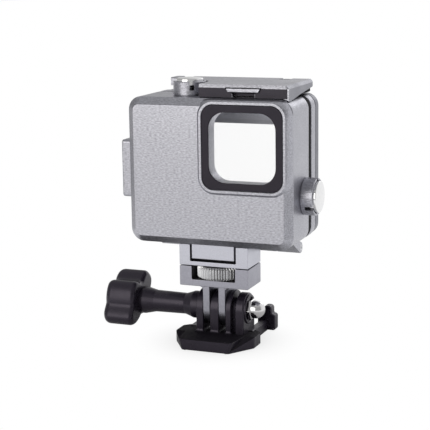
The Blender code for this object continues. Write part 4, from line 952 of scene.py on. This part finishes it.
piece("latch_cover", "latch", blasted_grey,
      [latch_skin(), barrel(latch_left, -LUG_SPREAD / 2 - lug_room),
       barrel(-LUG_SPREAD / 2 + lug_room, LUG_SPREAD / 2 - lug_room)],
      ["latch_plate"], (painted_shade_end_grey, on_latch_end))
piece("latch_skirt_strips", "latch", dark_skirt_and_recess_shade, skirt_strips())
piece("latch_rest_pad", "latch", black_rubber, [latch_pad()])


def lock_lip():
    """Finger lip: a shallow tray, wider along its top edge, proud of the skirt."""
    top, low, taper = lock_high[2], lock_high[2] - 0.0015, 0.0009
    half = (lock_high[0] - lock_low[0]) / 2
    outline = soften([(lock_x - half + taper, low), (lock_x + half - taper, low), (lock_x + half, top),
                      (lock_x - half, top)], 0.0003)
    return slab(outline, lock_low[1], lock_low[1] + 0.0030, "Y", 0.00025, 0.0001)


def lock_slide():
    outline = soft_box(lock_low[0], lock_high[0], lock_low[2], lock_high[2], 0.0003)
    return slab(outline, lock_low[1] + 0.0026, lock_high[1], "Y", 0.0002, 0.0002)


piece("lock_finger_lip", "latch_lock", blasted_grey, [lock_lip()], ["latch_lock"])
piece("lock_slide", "latch_lock", moulded_black, [lock_slide()])


# Buttons

def round_place(node, along):
    """Of a round CAD node: centre across the axis, radius, and lowest and highest level along the axis."""
    low, high = span(node)
    axis = "XYZ".index(along)
    across = [i for i in range(3) if i != axis]
    return (low + high)[across] / 2, (high - low)[across].max() / 2, low[axis], high[axis]


def slotted_collar(name, along, slot_start):
    """Collar turned about its axis, with three slots: inside a slot's angle every level is held down to the
    slot's floor. Two columns close together make each slot's wall."""
    centre, radius, _, top = round_place(f"{name}_collar", along)
    seat = {"X": case_right, "Z": case_top}[along] + SEAT
    bore = radius - COLLAR_WALL
    floor = top - SLOT_DEPTH
    edge = 0.00022
    half = np.arcsin(SLOT_WIDTH / 2 / (radius - COLLAR_WALL / 2))
    slots = np.radians(slot_start + np.arange(3) * 120)
    walls = (slots[:, None] + np.array([-half - 0.002, -half + 0.002, half - 0.002, half + 0.002])).ravel()
    turn = np.sort(np.concatenate([full_turn(96), walls % (2 * np.pi)]))
    away = np.abs((turn[:, None] - slots + np.pi) % (2 * np.pi) - np.pi).min(1)
    ceiling = np.where(away < half, floor + 0.0001, np.inf)
    rows = [(0.0005, floor), (bore, floor), (bore, top - edge), (bore + edge, top), (radius - edge, top),
            (radius, top - edge), (radius, seat + 0.0004), (radius - 0.0003, seat + 0.0002),
            (radius - 0.0003, seat), (0.0005, seat)]
    ring = circle(turn)
    return skin([lay(centre + r * ring, along, np.minimum(level, ceiling)) for r, level in rows])


def domed_cap(name, along):
    """Cap: straight wall, eased shoulder, and a crown that falls with the square of the radius."""
    centre, radius, bottom, top = round_place(f"{name}_cap", along)
    reach = np.linspace(0.01, 0.9, 14)
    crown = [(radius * r, top - 0.00045 * r * r) for r in reach]
    shoulder = ease([crown[-1], (radius, top - 0.00052), (radius, bottom)], 0.00032, 5)
    line = crown + shoulder[1:].tolist() + [(radius * 0.02, bottom)]
    return turned(line, centre, along, steps=96)


for name, along, slot_start in (("shutter", "Z", -60), ("mode", "X", 211)):
    piece(f"{name}_slotted_collar", "housing", blasted_grey,
          [slotted_collar(name, along, slot_start)], [f"{name}_collar"])
    piece(f"{name}_domed_cap", f"{name}_button", bright_chrome,
          [domed_cap(name, along)], [f"{name}_cap"])


# Side block

def side_block_skin():
    outline = rounded(block_low[1], block_high[1], block_low[2], block_high[2], 0.0012)
    return slab(outline, block_low[0], block_high[0], "X", 0.0006, 0.0001)


piece("side_rail_block", "housing", blasted_grey, [side_block_skin()], ["side_block"])


# Tilt mount

def u_block(low, high, left, right, web, pocket=0.0):
    """U in the plane of X and Z, carried along Y: outer box less an opening from left to right above web.
    A round pocket about the wheel's axis widens the opening to the circle's half chord,
    root(pocket ** 2 - y ** 2)."""
    drawn, up = rim(0.00022, 3)
    level = np.concatenate([low[1] + up, np.linspace(low[1], high[1], 42)[1:-1], high[1] - up[::-1]])
    drawn = np.concatenate([drawn, np.zeros(40), drawn[::-1]])
    chord = np.sqrt(np.clip(pocket ** 2 - (level - wheel_y) ** 2, 0, None))
    loops = []
    for back, d, half in zip(level, drawn, chord):
        outline = soften([(low[0], low[2]), (high[0], low[2]), (high[0], high[2]), (max(right, half), high[2]),
                          (max(right, half), web), (min(left, -half), web), (min(left, -half), high[2]),
                          (low[0], high[2])], 0.0004)
        loops.append(lay(inset(outline, d), "Y", back))
    return skin(loops)


def ear(half, root, low, high, start=0, edges=(0.00025, 0.00025)):
    """Prong's side: a half circle about the pivot from the start angle on, and straight sides to the root."""
    turn = arc((pivot_y, pivot_z), half, start, start + 180, 28)
    outline = np.concatenate([turn, [(turn[-1, 0], root), (turn[0, 0], root)]])
    return slab(outline, low, high, "X", *edges)


def root_fillet(side, outer, radius):
    """Hollow corner where a prong meets the block: a quarter circle cut out of a small square."""
    corner = (outer + side * radius, mount_bottom - radius)
    hollow = arc(corner, radius, *((180, 90) if side > 0 else (0, 90)), 8)
    back = [(corner[0], mount_bottom + ROOT_SUNK), (outer - side * 0.0005, mount_bottom + ROOT_SUNK),
            (outer - side * 0.0005, mount_bottom - radius)]
    half = EAR_RADIUS - SEAT
    return slab(np.concatenate([hollow, back]), pivot_y - half, pivot_y + half, "Y", 0.0, 0.0)


slot_half = (wheel_high[0] - wheel_low[0]) / 2 + GAP
wheel_radius = slot_half - GAP + WHEEL_EXTRA
wheel_x, wheel_y = (wheel_low + wheel_high)[:2] / 2
hang = (PRONG_PITCH - PRONG - 2 * SEAT) / 2
to_left = np.array([-MOUNT_SHIFT, 0, 0])
base_block = np.array([base_low[0], base_low[1], mount_bottom])
slot_floor = mount_bottom + MOUNT_FLOOR
prong_skins = []
for side, centre in ((-1, -PRONG_PITCH / 2 - LEFT_PRONG_SHIFT), (1, PRONG_PITCH / 2)):
    prong_skins.append(ear(EAR_RADIUS, mount_bottom + ROOT_SUNK, centre - hang, centre + hang, start=180))
    prong_skins.append(root_fillet(side, centre + side * hang, 0.0015))


def inside_slot(centre, normal):
    """Faces of the wheel's slot, which take painted shade: between its walls, above its floor, and looking
    inwards or up.
    """
    inward = normal[:, 0] * np.sign(centre[:, 0]) < -0.5
    floor = (normal[:, 2] > 0.8) & (centre[:, 2] < slot_floor + 0.0005)
    within = (np.abs(centre[:, 0]) < wheel_radius + 2 * GAP) & (centre[:, 2] > slot_floor - 0.0002)
    return within & (inward | floor)


def inside_bracket(centre, normal):
    """Faces of the bracket's opening round the foot, and its two tops under the case: they take painted shade.
    """
    level = (centre[:, 2] > bracket_low[2] + BRACKET_WEB - 0.0002) & (centre[:, 2] < bracket_high[2] - 0.0008)
    upright = normal[:, 0] * np.sign(centre[:, 0]) < -0.5
    floor = (normal[:, 2] > 0.8) & (np.abs(centre[:, 0]) < -BRACKET_LEFT)
    top = (normal[:, 2] > 0.8) & (centre[:, 2] > bracket_high[2] - 0.0008)
    return (level & (upright | floor)) | top


piece("mount_block", "housing", mount_grey,
      [u_block(base_block + to_left, base_high + to_left, -slot_half - 2 * MOUNT_SHIFT,
               slot_half - MOUNT_SHIFT, slot_floor, wheel_radius + GAP)] + prong_skins,
      ["mount_base"], (painted_pocket_shade, inside_slot))
piece("foot_bracket", "housing", silver_and_foot_light,
      [u_block(bracket_low + to_left, bracket_high + to_left - [0, 0, BRACKET_DROP], BRACKET_LEFT,
               BRACKET_RIGHT, bracket_low[2] + BRACKET_WEB)],
      ["mount_bracket"], (painted_pocket_shade, inside_bracket))


def knurled_wheel():
    """Wheel whose rim swells and falls: radius - depth * (half - half cos(teeth * t)) ** 0.7, with the teeth
    fading into a plain chamfer at both faces."""
    turn = full_turn(WHEEL_TEETH * 10)
    ring = circle(turn)
    tooth = TOOTH_DEPTH * (0.5 - 0.5 * np.cos(WHEEL_TEETH * turn)) ** 0.7
    low, high = wheel_low[2], wheel_high[2]
    half = [(WHEEL_BORE, 0.0, 0.0), (wheel_radius - 0.0009, 0.0, 0.0), (wheel_radius - 0.00025, 0.8, 0.0005),
            (wheel_radius, 1.0, 0.0008)]
    rows = [(radius, cut, low + up) for radius, cut, up in half]
    rows += [(radius, cut, high - down) for radius, cut, down in half[::-1]]
    centre = np.array([wheel_x, wheel_y])
    return skin([lay(centre + (radius - cut * tooth)[:, None] * ring, "Z", level)
                 for radius, cut, level in rows], closed=True)


def between_teeth(centre, normal):
    reach = np.hypot(centre[:, 0] - wheel_x, centre[:, 1] - wheel_y)
    return (reach > WHEEL_BORE + 0.0004) & (reach < wheel_radius - 0.00085) & (np.abs(normal[:, 2]) < 0.5)


piece("knurled_wheel", "thumbwheel", knurled_steel, [knurled_wheel()], ["thumbwheel"],
      (knurl_shadow, between_teeth))


# Quick-release buckle

def mirrored(right):
    """Outline from its right half, front to back, and the same points mirrored to the left."""
    right = np.array(right)
    return np.concatenate([right, right[::-1] * [-1, 1]])


def buckle_base():
    """Base plate: loops from the underside up, whose nose widens evenly from BASE_NOSE to DECK_NOSE, so that
    the front face leans outwards at both ends."""
    tongue, front, back = 0.0098, buckle_low[1], 0.0105
    radii = [0.0010, 0.0020, 0.0008, 0.0004, 0.0006, 0.0006, 0.0004, 0.0008, 0.0020, 0.0010]

    def outline(share):
        nose = BASE_NOSE + (DECK_NOSE - BASE_NOSE) * share
        middle = 0.0124 + 0.0008 * share
        right = [(nose, front), (middle, SHOULDER), (DECK_WAIST, SHOULDER_BACK), (tongue, 0.0029),
                 (tongue, back)]
        return soften(mirrored(right), radii, 6)

    line = rims(0.0, BASE_THICK, 0.0007, 0.0004, 4, 3)
    return skin([lay(inset(outline(level / BASE_THICK), drawn), "Z", level) for drawn, level in line])


def wing(side):
    """Side wing: its outer edge rises in a straight line from the nose to the shoulder and then runs level,
    and its top leans up from there to the deck's edge. The first and last loops are drawn in to a line inside
    the base."""
    inner, half = 0.0086, buckle_high[0]
    front = buckle_low[1] + SEAT
    step = SHOULDER_BACK + half - DECK_WAIST
    outline = soften([(inner, front), (BASE_NOSE + 0.0002, front), (half, SHOULDER), (half, SHOULDER_BACK),
                      (DECK_WAIST, step), (inner, step)], [0.0002, 0.0012, 0.0030, 0.0008, 0.0004, 0.0002], 6)
    share = np.clip((outline[:, 1] - front) / (SHOULDER - front), 0, 1)
    top = RAMP_START + (BASE_THICK - 0.0001 - RAMP_START) * share
    core = outline.copy()
    core[:, 0] = inner
    ridge = outline.copy()
    deck_edge = np.interp(outline[:, 1], [front, SHOULDER, SHOULDER_BACK], [DECK_NOSE, 0.0132, DECK_WAIST])
    ridge[:, 0] = np.minimum(outline[:, 0] - 0.0003, deck_edge - 0.0005)
    deck = BASE_THICK - 0.00005
    low_in, low_up = rim(0.0004, 3)
    loops = [lay(core, "Z", 0.0)] + [lay(inset(outline, d), "Z", up) for d, up in zip(low_in, low_up)]
    loops += [lay(outline, "Z", top - 0.00025), lay(inset(outline, 0.00025), "Z", top), lay(ridge, "Z", deck)]
    loops.append(lay(core, "Z", deck - 0.0003))
    loops = np.array(loops) * [side, 1, 1]
    return skin(loops, closed=True)


def squeeze_arm(side):
    low, high = sorted((side * ARM_INNER, side * ARM_OUTER))
    outline = rounded(low, high, -0.0009, buckle_high[1] - 0.0036, 0.0007)
    return slab(outline, 0.0005, 0.0052, "Z", 0.0004, 0.0006)


def squeeze_tab(side):
    """Finger tab: a foot that reaches out to the side and a narrower hump on it, in one outline across Y."""
    inner, step, waist, tip = 0.0094, 0.0124, 0.0157, buckle_high[0]
    low, foot, top = 0.0005, 0.0072, 0.0111
    outline = soften([(inner, low), (tip, low), (tip, foot), (waist, foot + 0.0005), (waist, top), (step, top),
                      (step, foot + 0.0002), (inner, foot)],
                     [0.0009, 0.0010, 0.0009, 0.0008, 0.0014, 0.0009, 0.0006, 0.0009], 5)
    return slab(outline * [side, 1], buckle_high[1] - 0.0044, buckle_high[1], "Y", 0.0006, 0.0006, 4)


holder_right = PRONG_PITCH + PRONG / 2 + NUT_BLOCK


def nut_holder():
    """Block round the nut: a stadium across X, and a raised ring on its outer face."""
    half, depth, bore, ring_radius = 0.0068, 0.0037, 0.0050, 0.0061
    block = ear(half, PRONG_ROOT, holder_right - depth, holder_right, edges=(0.0005, 0.0007, 4))
    line = [(bore, -0.0004), (bore, 0.0004), (bore + 0.0002, 0.0006), (ring_radius - 0.0002, 0.0006),
            (ring_radius, 0.0004), (ring_radius, -0.0004)]
    ring = [(radius, holder_right + level) for radius, level in line]
    return [block, turned(ring, (pivot_y, pivot_z), "X", closed=True)]


def prong_root(low, high):
    """Hollow flare where a prong stands on the deck: its plan drawn outwards by radius * (1 - sin t) at a
    height of radius * (1 - cos t)."""
    radius, inner, bottom = 0.0012, 0.0003, BASE_THICK - 0.0004
    plan = rounded(low, high, pivot_y - EAR_RADIUS, pivot_y + EAR_RADIUS, 0.0004)
    out, up = rim(radius, 6)
    loops = [lay(inset(plan, inner), "Z", bottom), lay(inset(plan, -radius), "Z", bottom)]
    loops += [lay(inset(plan, -drawn), "Z", BASE_THICK + level) for drawn, level in zip(out, up)]
    return skin(loops + [lay(inset(plan, inner), "Z", BASE_THICK + radius)], closed=True)


def on_deck(centre, normal):
    """Faces that look up, of the deck and of the wings' ramps, which take the matt finish with painted shade.
    """
    return (normal[:, 2] > 0.25) & (centre[:, 2] < BASE_THICK + 0.0004) & (centre[:, 1] < 0.0040)


prong_sides = ((-PRONG_PITCH - PRONG / 2 - LEFT_PRONG_SHIFT, PRONG / 2 - PRONG_PITCH - LEFT_PRONG_SHIFT),
               (-PRONG / 2 - LEFT_PRONG_SHIFT, PRONG / 2), (PRONG_PITCH - PRONG / 2, PRONG_PITCH + 0.0007))
buckle_prongs = [ear(EAR_RADIUS, PRONG_ROOT, low, high) for low, high in prong_sides]
buckle_prongs += [prong_root(low, high) for low, high in prong_sides]
nut_web = ear(NUT_WEB_HALF, PRONG_ROOT, PRONG_PITCH, holder_right - 0.0020)
piece("release_buckle", "buckle", moulded_black,
      [buckle_base()] + [form(side) for form in (wing, squeeze_arm, squeeze_tab) for side in (-1, 1)]
      + [nut_web] + nut_holder() + buckle_prongs, ["buckle"], (matt_deck_painted_shade, on_deck))


def cap_nut_skins():
    """Six-sided nut with an eased front edge, and a dome: a short cylinder closed by a quarter circle."""
    turn = np.arange(6) * np.pi / 3
    reach = NUT_ACROSS_FLATS / 2 / np.cos(np.pi / 6)
    hexagon = np.array([pivot_y, pivot_z]) + reach * circle(turn)
    shoulder, tip = holder_right + 0.0020, nut_high[0] + NUT_EXTRA
    nut = slab(soften(hexagon, 0.0003), nut_low[0], shoulder, "X", 0.0, 0.0005)
    bend = np.linspace(0, np.pi / 2 - 0.01, 20)
    dome = [(DOME_RADIUS, shoulder - SUNK)]
    dome += [(DOME_RADIUS * np.cos(t), tip - DOME_RADIUS + DOME_RADIUS * np.sin(t)) for t in bend]
    return [nut, turned(dome, (pivot_y, pivot_z), "X", steps=72)]


piece("domed_nut", "buckle", nut_chrome, cap_nut_skins(), ["cap_nut"])


# Thumbscrew

def knob_outline(drawn):
    """Lobed outline: the reach at a turn t is hub + lift * sin t + the largest of
    height * (3 s ** 2 - 2 s ** 3) over the lobes, averaged over 9 degrees to each side, less what is drawn in.
    For a lobe of (middle, crown, foot, height), s falls from 1 at crown degrees from its middle to 0 at foot
    degrees."""
    turn = np.arange(360)
    middle, crown, foot, height = np.array(KNOB_LOBES).T
    away = np.abs((turn[:, None] - middle + 180) % 360 - 180)
    share = np.clip((foot - away) / (foot - crown), 0, 1)
    crest = (height * share ** 2 * (3 - 2 * share)).max(1)
    lobe = np.mean([np.roll(crest, shift) for shift in range(-9, 10)], 0)
    ring = circle(np.radians(turn))
    reach = KNOB_HUB + KNOB_LIFT * ring[:, 1] + lobe - drawn
    return np.array([pivot_y, pivot_z]) + reach[:, None] * ring


def knob_skin():
    line = rims(knob_low[0], KNOB_INNER_FACE, KNOB_OUTER_EDGE, KNOB_INNER_EDGE, 8, 8)
    return carried(named("knob", line), {"knob": knob_outline}, "X", closed=False)


def sleeve_skin():
    """Neck, cone, long shaft and flange, turned about the pivot."""
    end = knob_high[0]
    line = [(NECK_RADIUS, -0.0380), (NECK_RADIUS, -0.0340), (SHAFT_RADIUS + 0.0002, -0.0292),
            (SHAFT_RADIUS, -0.0155), (NECK_RADIUS - 0.0004, -0.0128), (NECK_RADIUS, -0.0118),
            (NECK_RADIUS, end)]
    soft = ease(line, 0.0004, 3)
    return turned(soft.tolist(), (pivot_y, pivot_z), "X", steps=72)


piece("lobed_thumbscrew", "thumbscrew", moulded_black,
      [knob_skin(), sleeve_skin()], ["thumb_knob"])


# CAD nodes that stay as they are

slots = {part["node"]: part["material_slot"] for part in frame["record"]["subparts"]}
# The window seal takes the painted light grey instead of its rubber finish.
for node, solid in frame["nodes"].items():
    if not solid.hide_render:
        solid.data.materials.clear()
        solid.data.materials.append(painted_light_inner_grey if node == "window_seal" else SLOT_FINISH[slots[node]])


# Floor, world and lamps

FLOOR_RADIUS = 5.0
REAR_RIGHT = (0.5, 1.0, 0.0)
SWEEP = (0.7, 1.0, 0.0)
OVERHEAD = (0.0, 0.0, 1.0)


def floor_finish():
    """Pale matt floor that keeps the part's shadow, and turns white a little further out. The camera sees that
    white all round; mirrors and glass see it close by and behind the part."""
    made, tree, shader = shader_of("pale_floor")
    shader.inputs["Roughness"].default_value = 0.9
    tree.links.new(ramp_on(tree, noise_on(tree, 40.0), (0.80, 0.80, 0.80), (0.83, 0.83, 0.83)),
                   shader.inputs["Base Color"])
    place = tree.nodes.new("ShaderNodeTexCoord").outputs["Object"]
    length = tree.nodes.new("ShaderNodeVectorMath")
    length.operation = "LENGTH"
    tree.links.new(place, length.inputs[0])
    away = length.outputs["Value"]
    path = tree.nodes.new("ShaderNodeLightPath").outputs
    seen = combine_on(tree, "MULTIPLY", path["Is Camera Ray"], smooth_on(tree, away, -0.028, 0.038))
    indirect = combine_on(tree, "MAXIMUM", path["Is Glossy Ray"], path["Is Transmission Ray"])
    close = smooth_on(tree, away, 0.30, 0.20)
    behind = smooth_on(tree, along_on(tree, place, REAR_RIGHT), 0.00, 0.16)
    reach = combine_on(tree, "MAXIMUM", close, behind)
    around = combine_on(tree, "MULTIPLY", smooth_on(tree, away, 0.03, 0.12), reach)
    white = combine_on(tree, "MAXIMUM", seen, combine_on(tree, "MULTIPLY", indirect, around))
    glow = tree.nodes.new("ShaderNodeEmission")
    mix = tree.nodes.new("ShaderNodeMixShader")
    tree.links.new(white, mix.inputs["Fac"])
    tree.links.new(shader.outputs["BSDF"], mix.inputs[1])
    tree.links.new(glow.outputs["Emission"], mix.inputs[2])
    tree.links.new(mix.outputs["Shader"], tree.nodes["Material Output"].inputs["Surface"])
    return made


disc = lay(FLOOR_RADIUS * circle(full_turn(96)), "Z", -0.0001)
floor_mesh = bpy.data.meshes.new("studio_floor")
floor_mesh.from_pydata(disc.tolist(), [], [list(range(96))])
floor_mesh.materials.append(floor_finish())
show("studio_floor", floor_mesh)


def studio_world():
    """Soft even light, whiter towards the rear and right where the sweep stands, and a little overhead."""
    world = bpy.data.worlds.new("studio")
    world.use_nodes = True
    tree = world.node_tree
    place = tree.nodes.new("ShaderNodeTexCoord").outputs["Generated"]
    sweep = smooth_on(tree, along_on(tree, place, SWEEP), 0.35, 0.95, 0.38, 1.0)
    overhead = smooth_on(tree, along_on(tree, place, OVERHEAD), 0.50, 0.95, 0.0, 0.20)
    background = tree.nodes["Background"]
    tree.links.new(combine_on(tree, "ADD", sweep, overhead), background.inputs["Strength"])
    background.inputs["Color"].default_value = (1.0, 1.0, 1.0, 1.0)
    bpy.context.scene.world = world


def stand(held, right, up, back, place):
    """Puts a lamp or camera at a place, with its own axes along right, up and back."""
    rows = [[*row, at] for row, at in zip(np.stack([right, up, back], -1), place)]
    held.matrix_world = Matrix(rows + [[0, 0, 0, 1]])


def soft_lamp(name, place, target, width, height, radiance, tint):
    """Area lamp whose surface has the given radiance: power is radiance times pi times its area."""
    lamp = bpy.data.lights.new(name, "AREA")
    lamp.shape = "RECTANGLE"
    lamp.size = width
    lamp.size_y = height
    lamp.energy = radiance * np.pi * width * height
    lamp.color = tint
    back = unit(np.array(place) - np.array(target))
    right = unit(np.cross([0, 0, 1], back))
    stand(show(name, lamp), right, np.cross(back, right), back, place)


studio_world()
soft_lamp("front_softbox", (-0.36, -0.95, 0.28), (0, 0, 0.06), 0.9, 0.8, 2.0, (1.0, 0.98, 0.94))
soft_lamp("rear_softbox", (0.22, 1.05, 0.46), (0, 0, 0.08), 0.40, 0.30, 1.1, (1.0, 1.0, 1.0))


# Camera at the photo's angle

turn, dip, roll = np.radians([21.826, 11.16, -0.805])
back = np.array([np.sin(turn) * np.cos(dip), -np.cos(turn) * np.cos(dip), np.sin(dip)])
right = np.array([np.cos(turn), np.sin(turn), 0.0])
up = np.cross(right, -back)
level_right = right * np.cos(roll) + up * np.sin(roll)
level_up = up * np.cos(roll) - right * np.sin(roll)
lens = bpy.data.cameras.new("photo_camera")
lens.sensor_width = 36.0
lens.lens = 108.81
lens.clip_start = 0.01
camera = show("photo_camera", lens)
stand(camera, level_right, level_up, back, (0.1924, -0.4862, 0.1562))
bpy.context.scene.camera = camera
bpy.context.scene.view_settings.view_transform = "Standard"
